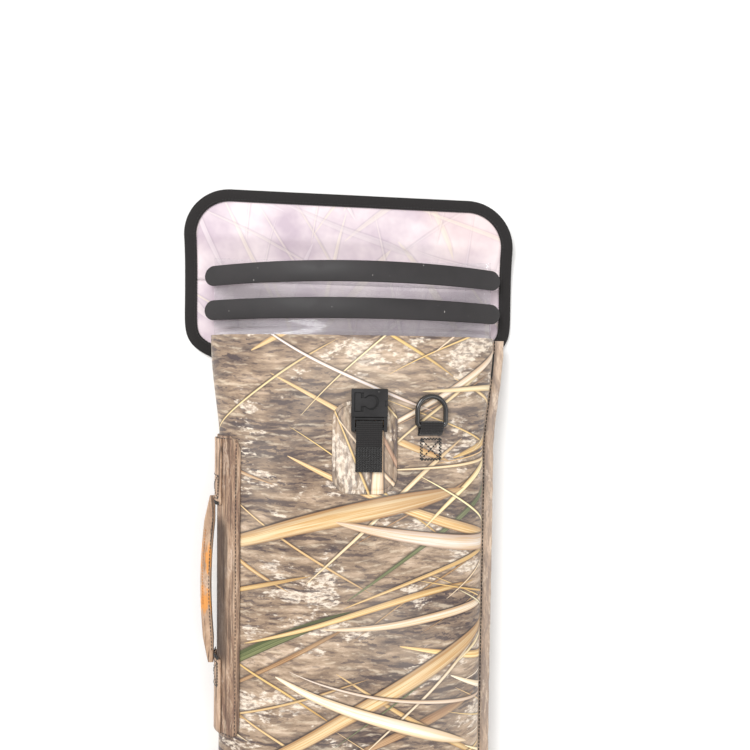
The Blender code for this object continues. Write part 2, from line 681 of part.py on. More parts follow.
def make_front_strap(shop):
    """Patch on the front, the webbing sewn to it, its free loop, and the buckle half that hangs in the loop."""
    outline = rounded_rectangle(PATCH_SIZE, PATCH_CORNER, PATCH_CENTRE)
    turn = Matrix.Translation((0, 0, PATCH_LEVEL + PATCH_THICKNESS / 2))
    shop.add(plate("buckle_patch", [outline], PATCH_THICKNESS, turn), "printed_shell")

    low = PATCH_LEVEL + PATCH_THICKNESS + GAP
    high = low + 2 * WEBBING + GAP
    length = STRAP_FOLD_V - GAP - STRAP_END_V
    base_centre = (BUCKLE_X, STRAP_END_V + length / 2, (low + high) / 2)
    shop.add(block("strap_sewn_end", (STRAP_WIDTH, length, high - low), base_centre, 0.4 * MM), "black_webbing")

    fold_origin = Vector((BUCKLE_X, STRAP_FOLD_V, high))
    strap_axis = shop.empty("strap_fold_axis", fold_origin, shop.frame)
    inner = BAR_RADIUS + GAP
    bar = (BAR_V, low + inner + WEBBING + 0.2 * MM)
    outlines = hairpin(bar, inner, STRAP_FOLD_V + GAP, low, high)
    loop = plate("strap_loop", outlines, STRAP_WIDTH, on_edge(BUCKLE_X))
    shop.add(moved(loop, fold_origin), "black_webbing", strap_axis)
    make_front_buckle(shop, strap_axis, fold_origin, bar)


def make_front_buckle(shop, strap_axis, fold_origin, bar):
    bar_origin = Vector((BUCKLE_X, *bar))
    axis = shop.empty("buckle_bar_axis", bar_origin - fold_origin, strap_axis)
    width, length, height = BUCKLE_SIZE
    top_v = BUCKLE_TOP_V - BAR_V
    middle = Vector((0, top_v - length / 2, 0.6 * MM))
    body = block("front_buckle_half", BUCKLE_SIZE, middle, bevel=0.7 * MM)
    leg_end = -2.4 * MM
    leg_length = top_v - length - leg_end + 2 * MM
    for side in (-1, 1):
        centre = (side * (width / 2 - LEG_WIDTH / 2), leg_end + leg_length / 2, 0)
        leg = block(f"front_buckle_leg_{side}", (LEG_WIDTH - 0.2 * MM, leg_length, 4.6 * MM), centre, 0.6 * MM)
        boolean(body, shop.as_cutter(leg, axis), "UNION")
    bar_piece = disc("front_buckle_bar", BAR_RADIUS, width - 2 * MM, (0, 0, 0), sides=14, along="X")
    boolean(body, shop.as_cutter(bar_piece, axis), "UNION")

    top = middle.z + height / 2
    key_centre = Vector((0.5 * MM, middle.y + 0.6 * MM))
    channel_depth = 2.0 * MM
    channel = plate("slider_channel", [key_outline(key_centre, 0.5 * MM, SLIDER_TRAVEL)], channel_depth * 2,
                    Matrix.Translation((0, 0, top)))
    boolean(body, shop.as_cutter(channel, axis))
    notch_centre = (width / 2, middle.y - 0.4 * MM, top)
    notch = block("release_notch", (4.2 * MM, 4.4 * MM, 2.8 * MM), notch_centre)
    boolean(body, shop.as_cutter(notch, axis))
    floor = middle.z - height / 2
    pocket = disc("front_magnet_pocket", 4.3 * MM, 5.0 * MM, (key_centre.x, key_centre.y, floor))
    boolean(body, shop.as_cutter(pocket, axis))
    shop.add(body, "black_plastic", axis)
    magnet_centre = (key_centre.x, key_centre.y, floor + 1.1 * MM)
    shop.add(disc("front_buckle_magnet", 4.0 * MM, 2.0 * MM, magnet_centre), "magnet", axis)

    slider_axis = shop.empty("release_slider_axis", (0, 0, 0), axis)
    thickness = channel_depth - GAP - 0.3 * MM
    turn = Matrix.Translation((0, 0, top - 0.3 * MM - thickness / 2))
    shop.add(plate("release_slider", [key_outline(key_centre, 0, 0)], thickness, turn), "black_plastic", slider_axis)


def key_outline(centre, margin, travel):
    """The sliding key seen from above: a thumb bar on the left, a neck, and a round paddle in the middle.

    margin grows it all round and travel lengthens it to the right, for the channel that it slides in.
    """
    bar_left, bar_right = -11.3 * MM - margin, -7.0 * MM + margin + travel
    bar_half, neck_half = 6.6 * MM + margin, 3.0 * MM + margin
    radius = 4.5 * MM + margin + travel / 2
    neck_angle = atan2(neck_half, -sqrt(radius**2 - neck_half**2))
    points = [(bar_left, -bar_half), (bar_right, -bar_half), (bar_right, -neck_half)]
    points += [(travel / 2 + radius * cos(a), radius * sin(a)) for a in arc(-neck_angle, neck_angle, 16)]
    points += [(bar_right, neck_half), (bar_right, bar_half), (bar_left, bar_half)]
    return [(centre.x + x, centre.y + y) for x, y in points]


def ring_place(v):
    """Point on the front shell where a ring's tab stands, and the shell's sideways slope there."""
    def height(x):
        points = front_outline(v, steps=120, seam_gap=0)
        return min(points, key=lambda p: abs(p[0] - x))[1]

    reach = 0.012
    x = RING_X * between(HALF_WIDTH, v) / between(HALF_WIDTH, RING_BAR_VS["upper"])
    slope = (height(x + reach) - height(x - reach)) / (2 * reach)
    along = (between(CROWN_HEIGHT, v + 0.01) - between(CROWN_HEIGHT, v - 0.01)) / 0.02
    return Vector((x, v, height(x) + abs(along) * 0.008)), -atan2(slope, 1)


def make_rings(shop, front_shell):
    """Two D-rings, each held by a webbing tab that comes out of a slit in the front shell."""
    for name, v in RING_BAR_VS.items():
        place, tilt = ring_place(v)
        seat = shop.empty(f"ring_seat_{name}", place, shop.frame, tilt)
        inner = RING_WIRE + GAP
        bar_height = inner + WEBBING + GAP
        tail = -TAB_SLIT_REACH
        outlines = tab_outlines(bar_height, inner, tail)
        shop.add(plate(f"ring_tab_{name}", outlines, TAB_WIDTH, on_edge(0)), "black_webbing", seat)
        slit_size = (TAB_WIDTH + 1.0 * MM, 3.4 * MM, 3.4 * MM)
        slit = block(f"ring_slit_{name}", slit_size, (0, tail, 0))
        boolean(front_shell, shop.as_cutter(slit, seat))
        axis = shop.empty(f"ring_axis_{name}", (0, 0, bar_height), seat)
        shop.add(ring_wire(f"d_ring_{name}"), "coated_steel", axis)


def tab_outlines(bar_height, inner, tail):
    """Outline and hole of the tab in the (v, z) plane: round the ring's bar, then down into the slit."""
    outer = inner + WEBBING
    half = WEBBING + GAP / 2
    bottom = -0.9 * MM
    edge = [(outer * cos(a), bar_height + outer * sin(a)) for a in arc(-pi * 0.42, pi * 0.62, 10)]
    edge += [(tail - half, half * 1.5), (tail - half, bottom), (tail + half, bottom), (tail + half, 0.35 * MM)]
    hole = [(inner * cos(a), bar_height + inner * sin(a)) for a in arc(-pi * 0.5, pi * 0.62, 8)]
    hole += [(tail * 0.62, bar_height * 0.52), (tail * 0.62, bar_height * 0.52 - 0.2 * MM)]
    return [edge, hole]


def ring_wire(name):
    """A closed D of round wire about its straight bar, lying along +v."""
    corner = 2.4 * MM
    straight = RING_RISE - RING_HALF_WIDTH
    path = [(-RING_HALF_WIDTH + corner, 0), (0, 0), (RING_HALF_WIDTH - corner, 0)]
    path += [(RING_HALF_WIDTH - corner + corner * sin(a), corner - corner * cos(a)) for a in arc(pi / 6, pi / 2, 2)]
    path += [(RING_HALF_WIDTH * cos(a), straight + RING_HALF_WIDTH * sin(a)) for a in arc(0, pi, 12)]
    path += [(-RING_HALF_WIDTH + corner - corner * sin(a), corner - corner * cos(a)) for a in arc(pi / 2, pi / 6, 2)]
    curve = bpy.data.curves.new(name, "CURVE")
    curve.dimensions = "3D"
    curve.bevel_depth = RING_WIRE
    curve.bevel_resolution = 2
    spline = curve.splines.new("POLY")
    spline.points.add(len(path) - 1)
    for point, (x, v) in zip(spline.points, path):
        point.co = (x, v, 0, 1)
    spline.use_cyclic_u = True
    obj = bpy.data.objects.new(name, curve)
    bpy.context.scene.collection.objects.link(obj)
    return obj


def main():
    shop = Workshop()
    front_shell = make_body(shop)
    make_collar(shop)
    make_muzzle_boot(shop)
    make_side_seam(shop)
    make_handle(shop)
    make_flap(shop)
    make_front_strap(shop)
    make_rings(shop, front_shell)
    bpy.context.view_layer.update()


main()
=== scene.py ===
"""Looks for the roll-top gun case: printed cloth, clear film collar, bound flap, webbing, stitching and buckle.

Lengths are in metres. (x, v) are places on the case: x from the body's middle and v from its mouth, positive
beyond the mouth. case() and flap() carry them into the row frame.
"""

import json
from math import acos, atan2, cos, hypot, pi, radians, sin, sqrt

import bmesh
import bpy
from mathutils import Matrix, Vector, noise


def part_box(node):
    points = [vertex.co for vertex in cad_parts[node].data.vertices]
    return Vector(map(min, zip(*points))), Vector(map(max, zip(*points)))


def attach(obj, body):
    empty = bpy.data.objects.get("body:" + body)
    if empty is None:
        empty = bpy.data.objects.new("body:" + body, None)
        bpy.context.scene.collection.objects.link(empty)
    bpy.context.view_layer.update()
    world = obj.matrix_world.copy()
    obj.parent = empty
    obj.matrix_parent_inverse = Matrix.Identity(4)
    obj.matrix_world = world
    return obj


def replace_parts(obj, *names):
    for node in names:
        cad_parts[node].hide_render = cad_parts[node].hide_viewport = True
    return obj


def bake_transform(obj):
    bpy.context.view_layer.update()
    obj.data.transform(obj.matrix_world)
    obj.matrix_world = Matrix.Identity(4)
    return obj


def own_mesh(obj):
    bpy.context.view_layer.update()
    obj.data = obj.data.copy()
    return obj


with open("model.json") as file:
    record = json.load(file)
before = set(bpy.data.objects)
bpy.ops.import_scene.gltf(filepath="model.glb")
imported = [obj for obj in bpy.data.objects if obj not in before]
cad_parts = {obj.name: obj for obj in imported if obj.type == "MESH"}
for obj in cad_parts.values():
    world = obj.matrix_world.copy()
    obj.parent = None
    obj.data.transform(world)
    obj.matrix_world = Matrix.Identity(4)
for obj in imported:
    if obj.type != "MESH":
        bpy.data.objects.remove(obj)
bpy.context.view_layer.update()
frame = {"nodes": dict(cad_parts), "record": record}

MM = 0.001
SHELL_LOW, SHELL_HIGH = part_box("front_shell")
MOUTH_X = (SHELL_LOW[0] + SHELL_HIGH[0]) / 2
MOUTH_Y = SHELL_HIGH[1]

# Outline of the padded tube at stations along it, as in the CAD: (v, value)
BODY_LENGTH = 1.320
HALF_WIDTH = ((0.064, 0.1145), (0, 0.114), (-0.09, 0.1045), (-0.33, 0.103), (-1.10, 0.088), (-1.32, 0.082))
SEAM_HEIGHT = ((0.064, 0.0125), (0, 0.0150), (-0.07, 0.0230), (-0.90, 0.0230), (-1.25, 0.0190), (-1.32, 0.0190))
CROWN_HEIGHT = ((0.064, 0.0570), (0, 0.0525), (-0.045, 0.0580), (-0.45, 0.0580), (-1.10, 0.0450), (-1.32, 0.0430))
FLOOR_CLEARANCE = ((0.064, 0.0068), (0, 0.0030), (-0.02, 0.0030), (-0.06, 0), (-1.19, 0), (-1.24, 0.0018))
CROWN_POWER_X = ((0.064, 1.0), (0.011, 1.0), (0, 0.77))
CROWN_POWER_Z = ((0.064, 2.0), (0.011, 2.0), (0, 0.77))
BOTTOM_CORNER = 0.026
END_RADIUS = 0.040

FLAP_HALF_WIDTH, FLAP_REACH, FLAP_CORNER = 0.1355, 0.118, 0.038
FLAP_FOLDS = (0.009, 0.079)
FLAP_LEVELS = (0.00175, 0.0076)
HEM_END, HEM_START, HEM_INSET = -0.017, 0.030, 0.0225
BINDING_WIDTH = 0.010

FLAP_SPLIT = 0.044
SHEET_INSET = 1.3 * MM

BUCKLE_X = 0.012
PATCH_BASE = 0.0583
WEBBING = 1.2 * MM
CLOTH_END = -1.280


def between(stations, v):
    ordered = sorted(stations)
    if v <= ordered[0][0]:
        return ordered[0][1]
    for (low, first), (high, second) in zip(ordered, ordered[1:]):
        if v <= high:
            share = (v - low) / (high - low)
            return first + (second - first) * share * share * (3 - 2 * share)
    return ordered[-1][1]


def section_sizes(v):
    """(half width, seam height, crown's rise above the seam, lowest height) at v."""
    share = max(0.0, (END_RADIUS - BODY_LENGTH - v) / END_RADIUS)
    rounding = sqrt(max(0.0, 1 - min(share, 0.985) ** 2))
    seam = between(SEAM_HEIGHT, v)
    half_width = between(HALF_WIDTH, v) - END_RADIUS * (1 - rounding)
    rise = (between(CROWN_HEIGHT, v) - seam) * rounding
    lowest = seam - (seam - between(FLOOR_CLEARANCE, v)) * rounding
    return half_width, seam, rise, lowest


def front_outline(v, inset=0.0, steps=56):
    half_width, seam, rise, _ = section_sizes(v)
    power_x, power_z = between(CROWN_POWER_X, v), between(CROWN_POWER_Z, v)
    points = []
    for i in range(steps + 1):
        angle = pi * i / steps
        across = abs(cos(angle)) ** power_x * (-1 if cos(angle) > 0 else 1)
        up = max(0.0, sin(angle)) ** power_z
        points.append(((half_width - inset) * across, seam + 0.15 * MM + (rise - inset) * up))
    return points


def back_outline(v, inset=0.0, steps=14):
    half_width, seam, _, lowest = section_sizes(v)
    top = seam - 0.15 * MM
    left = []
    for i in range(steps + 1):
        angle = pi / 2 * (1 - i / steps)
        across = half_width - BOTTOM_CORNER + (BOTTOM_CORNER - inset) * sin(angle)
        left.append((-across, top - (top - lowest - inset) * cos(angle)))
    flat = half_width - BOTTOM_CORNER
    middle = [(-flat + 2 * flat * k / 8, lowest + inset) for k in range(1, 8)]
    return left + middle + [(-x, z) for x, z in reversed(left)]


def front_height(x, v):
    half_width, seam, rise, _ = section_sizes(v)
    angle = acos(min(1.0, (abs(x) / half_width) ** (1 / between(CROWN_POWER_X, v))))
    return seam + rise * sin(angle) ** between(CROWN_POWER_Z, v)


def case(x, v, z):
    return Vector((MOUTH_X + x, MOUTH_Y + v, z))


def flap(x, v, z):
    """A place on the flap, which lies a little askew."""
    lean = min(1.0, max(0.0, (v - 0.005) / 0.06))
    return Vector((x, MOUTH_Y + v - 0.026 * x * lean * lean * (3 - 2 * lean), z))


def flap_level(v):
    share = min(1.0, max(0.0, (v - FLAP_FOLDS[0]) / (FLAP_FOLDS[1] - FLAP_FOLDS[0])))
    return FLAP_LEVELS[0] + (FLAP_LEVELS[1] - FLAP_LEVELS[0]) * share**4


# Shader graphs


def colour(red, green, blue):
    """An 8-bit screen colour as the linear values that shaders take."""
    def linear(value):
        value /= 255
        return value / 12.92 if value <= 0.04045 else ((value + 0.055) / 1.055) ** 2.4

    return (linear(red), linear(green), linear(blue), 1.0)


class Graph:
    """Short forms for adding shader nodes. A socket given as an input is linked, and anything else is its value."""

    def __init__(self, tree):
        self.tree = tree

    def add(self, kind, inputs=(), out=0, **settings):
        node = self.tree.nodes.new("ShaderNode" + kind)
        for key, value in settings.items():
            setattr(node, key, value)
        pairs = inputs.items() if isinstance(inputs, dict) else enumerate(inputs)
        for key, value in pairs:
            if isinstance(value, bpy.types.NodeSocket):
                self.tree.links.new(value, node.inputs[key])
            elif value is not None:
                node.inputs[key].default_value = value
        return node.outputs[out]

    def math(self, operation, *values):
        return self.add("Math", values, operation=operation)

    def times(self, *values):
        return self.math("MULTIPLY", *values)

    def over(self, *values):
        return self.math("DIVIDE", *values)

    def plus(self, *values):
        return self.math("ADD", *values)

    def minus(self, *values):
        return self.math("SUBTRACT", *values)

    def scale_add(self, *values):
        return self.math("MULTIPLY_ADD", *values)

    def part(self, vector, axis):
        return self.add("SeparateXYZ", (vector,), out=axis)

    def vector(self, operation, *values):
        return self.add("VectorMath", values, operation=operation)

    def scaled(self, vector, x, y, z=1.0):
        return self.vector("MULTIPLY", vector, (x, y, z))

    def mix(self, share, first, second, blend="MIX"):
        settings = {"data_type": "RGBA", "blend_type": blend}
        return self.add("Mix", {0: share, 6: first, 7: second}, out=2, **settings)

    def smooth(self, value, low, high, start=0.0, end=1.0):
        return self.add("MapRange", (value, low, high, start, end), interpolation_type="SMOOTHSTEP")

    def noise(self, vector, scale, detail=2.0, roughness=0.5, out=0):
        inputs = {"Vector": vector, "Scale": scale, "Detail": detail, "Roughness": roughness}
        return self.add("TexNoise", inputs, out=out)

    def ramp(self, share, stops):
        node = self.tree.nodes.new("ShaderNodeValToRGB")
        elements = node.color_ramp.elements
        while len(elements) < len(stops):
            elements.new(0.5)
        for element, (place, tone) in zip(elements, stops):
            element.position = place
            element.color = tone
        self.tree.links.new(share, node.inputs[0])
        return node.outputs[0]

    def bump(self, height, distance, strength=1.0, normal=None):
        inputs = {"Strength": strength, "Distance": distance, "Height": height}
        if normal is not None:
            inputs["Normal"] = normal
        return self.add("Bump", inputs)


def new_group(name, inputs, outputs):
    """A node group with its sockets, its graph, its input node's sockets by name and its output node."""
    tree = bpy.data.node_groups.new(name, "ShaderNodeTree")
    kinds = {"f": "NodeSocketFloat", "v": "NodeSocketVector", "c": "NodeSocketColor"}
    for label, kind in inputs:
        tree.interface.new_socket(label, in_out="INPUT", socket_type=kinds[kind])
    for label, kind in outputs:
        tree.interface.new_socket(label, in_out="OUTPUT", socket_type=kinds[kind])
    source, result = tree.nodes.new("NodeGroupInput"), tree.nodes.new("NodeGroupOutput")
    return tree, Graph(tree), {label: source.outputs[label] for label, _ in inputs}, result


def make_blade_group():
    """One layer of long leaves, each in a cell of its own in a turned grid.

    A leaf runs from its tip at the cell's start to its root at the cell's end. Slope thins the layer out towards
    the tips' side.
    """
    inputs = [("Vector", "v"), ("Along", "v"), ("Across", "v"), ("Length", "f"), ("Width", "f")]
    inputs += [("Seed", "f"), ("Density", "f"), ("Slope", "f"), ("Bend", "f")]
    inputs += [("Light", "c"), ("Dark", "c"), ("Edge", "c"), ("Under", "c")]
    inputs += [("Shading", "f"), ("Shadow", "c"), ("Cover", "f")]
    tree, g, given, result = new_group("blade_layer", inputs, [("Colour", "c")])
    seeded = g.vector("ADD", given["Vector"], g.add("CombineXYZ", (0.0, 0.0, given["Seed"])))
    drift = g.vector("SUBTRACT", g.noise(seeded, 4.5, 1.0, out=1), (0.5, 0.5, 0.5))
    bent = g.vector("ADD", given["Vector"], g.add("VectorMath", {0: drift, 3: given["Bend"]}, operation="SCALE"))
    along = g.add("VectorMath", (bent, given["Along"]), out=1, operation="DOT_PRODUCT")
    across = g.add("VectorMath", (bent, given["Across"]), out=1, operation="DOT_PRODUCT")
    rows = g.over(across, given["Width"])
    row = g.math("FLOOR", rows)
    place = g.minus(g.minus(rows, row), 0.5)
    row_random = g.add("TexWhiteNoise", (g.add("CombineXYZ", (row, given["Seed"], 0.0)),), noise_dimensions="3D")
    shift = g.times(row_random, 9.7)
    cells = g.plus(g.over(along, given["Length"]), shift)
    cell = g.math("FLOOR", cells)
    share = g.minus(cells, cell)
    random = g.tree.nodes.new("ShaderNodeTexWhiteNoise")
    g.tree.links.new(g.add("CombineXYZ", (cell, row, given["Seed"])), random.inputs["Vector"])
    chance = random.outputs["Value"]
    parts = g.tree.nodes.new("ShaderNodeSeparateColor")
    g.tree.links.new(random.outputs["Color"], parts.inputs[0])
    one, two, three = parts.outputs
    cell_place = g.times(g.minus(cell, shift), given["Length"])
    limit = g.scale_add(cell_place, given["Slope"], given["Density"])
    present = g.math("LESS_THAN", chance, limit)

    centred = g.minus(share, 0.5)
    bow = g.times(g.times(centred, centred), g.scale_add(two, 1.1, -0.55))
    turn = g.math("FRACT", g.times(one, 7.3))
    tilt = g.times(centred, g.scale_add(turn, 1.0, -0.5))
    offset = g.plus(g.scale_add(one, 0.28, -0.14), g.plus(bow, tilt))
    taper = g.times(g.math("SQRT", share), g.minus(1.0, g.math("POWER", share, 8.0)))
    stout = g.scale_add(g.math("POWER", three, 2.6), 0.13, 0.028)
    width = g.times(taper, stout)
    side = g.over(g.minus(place, offset), g.math("MAXIMUM", width, 0.001))
    distance = g.math("ABSOLUTE", side)
    mask = g.times(present, g.smooth(distance, 0.85, 1.0, 1.0, 0.0))
    past = g.times(g.minus(distance, 1.0), g.times(width, given["Width"]))
    beyond = g.smooth(past, 0.0, 1.7 * MM, 1.0, 0.0)
    beyond = g.times(beyond, g.scale_add(g.math("GREATER_THAN", side, 0.0), 0.6, 0.4))
    shade = g.times(present, g.times(beyond, g.smooth(taper, 0.1, 0.5)))

    lines = g.add("CombineXYZ", (g.times(side, 2.6), g.times(share, 1.3), chance))
    lines = g.vector("ADD", lines, g.vector("MULTIPLY", random.outputs["Color"], (40.0, 40.0, 40.0)))
    stripe = g.smooth(g.noise(lines, 1.5, 4.0, 0.7), 0.40, 0.60)
    tone = g.mix(stripe, given["Light"], given["Dark"])
    rim = g.math("MAXIMUM", g.smooth(distance, 0.55, 1.0, 0.0, 0.85), g.smooth(side, 0.05, 0.9, 0.0, 0.6))
    tone = g.mix(rim, tone, given["Edge"])
    tone = g.mix(g.smooth(share, 0.62, 1.0, 0.0, 0.45), tone, given["Edge"])
    gain = g.scale_add(one, 0.30, 0.84)
    gains = g.add("CombineColor", (gain, gain, g.scale_add(two, 0.30, 0.76)))
    tone = g.mix(1.0, tone, gains, "MULTIPLY")
    under = g.mix(g.times(shade, given["Shading"]), given["Under"], given["Shadow"])
    tree.links.new(g.mix(g.times(mask, given["Cover"]), under, tone), result.inputs["Colour"])
    return tree


def make_bark_group():
    """Tree bark with its grain along x: streaks, cracks, flakes and pale lichen."""
    outputs = [("Colour", "c"), ("Height", "f")]
    tree, g, given, result = new_group("bark", [("Vector", "v"), ("Lichen", "f")], outputs)
    drift = g.vector("SUBTRACT", g.noise(given["Vector"], 16.0, 2.0, out=1), (0.5, 0.5, 0.5))
    place = g.vector("ADD", given["Vector"], g.scaled(drift, 0.018, 0.014, 0.0))
    grain = g.noise(g.scaled(place, 40.0, 170.0), 1.0, 8.0, 0.68)
    broad = g.noise(g.scaled(place, 8.0, 24.0), 1.0, 3.0, 0.6)
    stretched = g.scaled(place, 26.0, 92.0)
    plates = g.noise(stretched, 1.0, 6.0, 0.62)
    beside = g.noise(g.vector("ADD", stretched, (0.03, 0.16, 0.0)), 1.0, 6.0, 0.62)
    step = g.minus(plates, beside)
    share = g.plus(g.times(grain, 0.55), g.times(broad, 0.50))
    stops = [(0.41, (72, 59, 59)), (0.47, (118, 99, 86)), (0.53, (150, 127, 106)), (0.60, (186, 161, 137))]
    stops += [(0.70, (226, 204, 182))]
    tone = g.ramp(share, [(place_, colour(*rgb)) for place_, rgb in stops])
    patches = g.noise(g.scaled(place, 15.0, 30.0), 1.0, 5.0, 0.66)
    speck = g.noise(g.scaled(place, 200.0, 420.0), 1.0, 4.0, 0.62)
    lichen = g.smooth(g.plus(patches, g.times(speck, 0.16)), 0.628, 0.672, 0.0, 0.85)
    lichen = g.times(lichen, given["Lichen"])
    pale = g.mix(g.smooth(speck, 0.40, 0.60), colour(176, 156, 140), colour(242, 228, 210))
    tone = g.mix(lichen, tone, pale)
    tone = g.mix(g.smooth(step, -0.12, -0.03, 0.45, 0.0), tone, colour(236, 218, 192))
    gloomy = g.smooth(broad, 0.40, 0.60, 1.0, 0.45)
    ledge = g.times(g.smooth(step, 0.040, 0.056), gloomy)
    tone = g.mix(g.times(ledge, 0.9), tone, colour(70, 57, 60))
    tone = g.mix(g.smooth(speck, 0.30, 0.44, 0.35, 0.0), tone, colour(84, 72, 66))
    height = g.minus(share, g.times(ledge, 0.3))
    tree.links.new(tone, result.inputs["Colour"])
    tree.links.new(height, result.inputs["Height"])
    return tree


BLADES = make_blade_group()
BARK = make_bark_group()

STRAW = (colour(255, 244, 214), colour(240, 208, 156), colour(170, 120, 72))
GOLD = (colour(252, 226, 172), colour(224, 178, 112), colour(142, 92, 52))
CREAM = (colour(255, 252, 236), colour(250, 228, 190), colour(200, 160, 112))
BROWN = (colour(206, 168, 128), colour(166, 124, 88), colour(96, 66, 48))
GREEN = (colour(140, 142, 104), colour(96, 106, 72), colour(62, 66, 48))

# (angle in degrees, length, row width, seed, density, slope, bend, colours, shade strength), from the back forwards
REED_LAYERS = (
    (-27, 0.13, 0.030, 2.3, 0.60, 1.5, 0.024, BROWN, 0.6),
    (31, 0.15, 0.034, 3.1, 0.50, 1.5, 0.024, GOLD, 0.6),
    (-33, 0.21, 0.044, 4.9, 0.34, 0.6, 0.020, GREEN, 0.6),
    (-16, 0.18, 0.044, 5.3, 0.60, 1.6, 0.026, GOLD, 0.8),
    (17, 0.19, 0.046, 9.6, 0.52, 1.6, 0.028, GOLD, 0.8),
    (-41, 0.16, 0.032, 7.9, 0.50, 1.5, 0.024, STRAW, 0.8),
    (-22, 0.25, 0.074, 6.7, 0.60, 1.4, 0.030, GOLD, 0.9),
    (-30, 0.20, 0.046, 13.1, 0.50, 1.6, 0.026, STRAW, 0.9),
    (4, 0.17, 0.058, 10.9, 0.45, 1.8, 0.026, STRAW, 0.9),
    (26, 0.16, 0.056, 8.2, 0.42, 1.6, 0.030, CREAM, 0.9),
    (-12, 0.20, 0.060, 15.5, 0.36, 1.6, 0.028, CREAM, 0.9),
)


def group_node(g, tree, inputs):
    node = g.tree.nodes.new("ShaderNodeGroup")
    node.node_tree = tree
    for key, value in inputs.items():
        if isinstance(value, bpy.types.NodeSocket):
            g.tree.links.new(value, node.inputs[key])
        else:
            node.inputs[key].default_value = value
    return node


def directions(degrees):
    """Unit vectors along and across leaves that point at an angle from x."""
    angle = radians(degrees)
    return {"Along": (cos(angle), -sin(angle), 0.0), "Across": (sin(angle), cos(angle), 0.0)}


def reeds_over(g, place, tone):
    """Lays the layers of reeds over a colour."""
    for angle, length, width, seed, density, slope, bend, colours, strength in REED_LAYERS:
        light, dark, edge = colours
        inputs = {"Vector": place, "Length": length, "Width": width, "Seed": seed} | directions(angle)
        inputs |= {"Density": density, "Slope": slope, "Bend": bend, "Light": light, "Dark": dark, "Edge": edge}
        inputs |= {"Under": tone, "Shading": strength, "Shadow": colour(48, 38, 36), "Cover": 1.0}
        tone = group_node(g, BLADES, inputs).outputs["Colour"]
    return tone


def new_material(name, **constants):
    """A material, its graph and its shader. constants are the shader's own values, by socket name."""
    material = bpy.data.materials.new(name)
    material.use_nodes = True
    shader = material.node_tree.nodes["Principled BSDF"]
    for key, value in constants.items():
        shader.inputs[key.replace("_", " ")].default_value = value
    return material, Graph(material.node_tree), shader


def surface(g, shader, **links):
    for key, socket in links.items():
        g.tree.links.new(socket, shader.inputs[key.replace("_", " ")])


def uv_place(g):
    return g.add("UVMap", uv_map="cloth")


def object_place(g):
    return g.add("TexCoord", out=3)


def canvas_weave(g, place, pitch=0.45 * MM):
    """Fine plain weave as a height, from two crossed waves."""
    size = 2 * pi / pitch / 2
    scaled = g.add("SeparateXYZ", (g.scaled(place, size, size),), out=0)
    other = g.add("SeparateXYZ", (g.scaled(place, size, size),), out=1)
    return g.times(g.math("SINE", scaled), g.math("SINE", other))


def printed_cloth(name, lichen=1.0, turn=0.0, wash=0.0):
    """The coated cloth of the body: bark, with reeds over it, a fine weave and a soft sheen."""
    look = {"Roughness": 0.62, "Sheen_Weight": 0.15, "Sheen_Roughness": 0.5, "Specular_IOR_Level": 0.35}
    material, g, shader = new_material(name, **look)
    place = uv_place(g)
    if turn:
        place = g.add("VectorRotate", {"Vector": place, "Angle": turn}, rotation_type="Z_AXIS")
    bark = group_node(g, BARK, {"Vector": place, "Lichen": lichen})
    tone = reeds_over(g, place, bark.outputs["Colour"])
    faded = g.noise(place, 9.0, 3.0, 0.6)
    tone = g.mix(g.smooth(faded, 0.35, 0.75, wash, wash + 0.16), tone, colour(244, 232, 216))
    weave = canvas_weave(g, place)
    soft = g.noise(place, 22.0, 3.0, 0.55)
    normal = g.bump(soft, 1.6 * MM, 0.55)
    normal = g.bump(weave, 0.03 * MM, 0.6, normal)
    rough = g.smooth(g.noise(place, 60.0, 4.0, 0.6), 0.3, 0.7, 0.52, 0.68)
    surface(g, shader, Base_Color=tone, Normal=normal, Roughness=rough)
    return material


def bark_tape(name, tint, strength, pitch=0.8 * MM, sideways=False, streaks=0.0):
    """Bark print washed with a tint.

    Sideways adds the grip's amber stripe, and streaks without it a dark band on the wrap's lower side along the grip,
    partly dark print and partly painted shade.
    """
    material, g, shader = new_material(name, Roughness=0.7, Sheen_Weight=0.1, Specular_IOR_Level=0.3)
    place = uv_place(g)
    bark = group_node(g, BARK, {"Vector": g.scaled(place, 1.6, 1.6), "Lichen": 0.5})
    tone = g.mix(strength, bark.outputs["Colour"], tint)
    if streaks:
        lines = g.noise(g.scaled(place, 16.0, 420.0), 1.0, 4.0, 0.6)
        tone = g.mix(g.smooth(lines, 0.50, 0.60, 0.0, streaks), tone, colour(58, 46, 42))
        tone = g.mix(g.smooth(lines, 0.30, 0.42, 0.5, 0.0), tone, colour(226, 190, 156))
    length = g.part(place, 0)
    if sideways:
        stripe = g.times(g.smooth(length, -0.222, -0.212), g.smooth(length, -0.168, -0.158, 1.0, 0.0))
        blots = g.smooth(g.noise(g.scaled(place, 60.0, 300.0), 1.0, 3.0), 0.47, 0.56, 0.0, 0.75)
        tone = g.mix(g.times(stripe, blots), tone, colour(232, 152, 62))
    elif streaks:
        # Painted shade: the wrap's lower side is darkened over the grip's length, where the grip shades the body,
        # partly standing for the print's dark bark.
        inner = g.times(g.smooth(length, -0.262, -0.245), g.smooth(length, -0.150, -0.134, 1.0, 0.0))
        low = g.smooth(g.part(place, 1), 0.039, 0.046, 0.80, 0.0)
        tone = g.mix(g.times(inner, low), tone, colour(50, 38, 34))
    part = g.part(place, 1 if sideways else 0)
    ribs = g.math("SINE", g.times(part, 2 * pi / pitch))
    normal = g.bump(ribs, 0.05 * MM, 0.5, g.bump(bark.outputs["Height"], 0.3 * MM, 0.4))
    surface(g, shader, Base_Color=tone, Normal=normal)
    return material


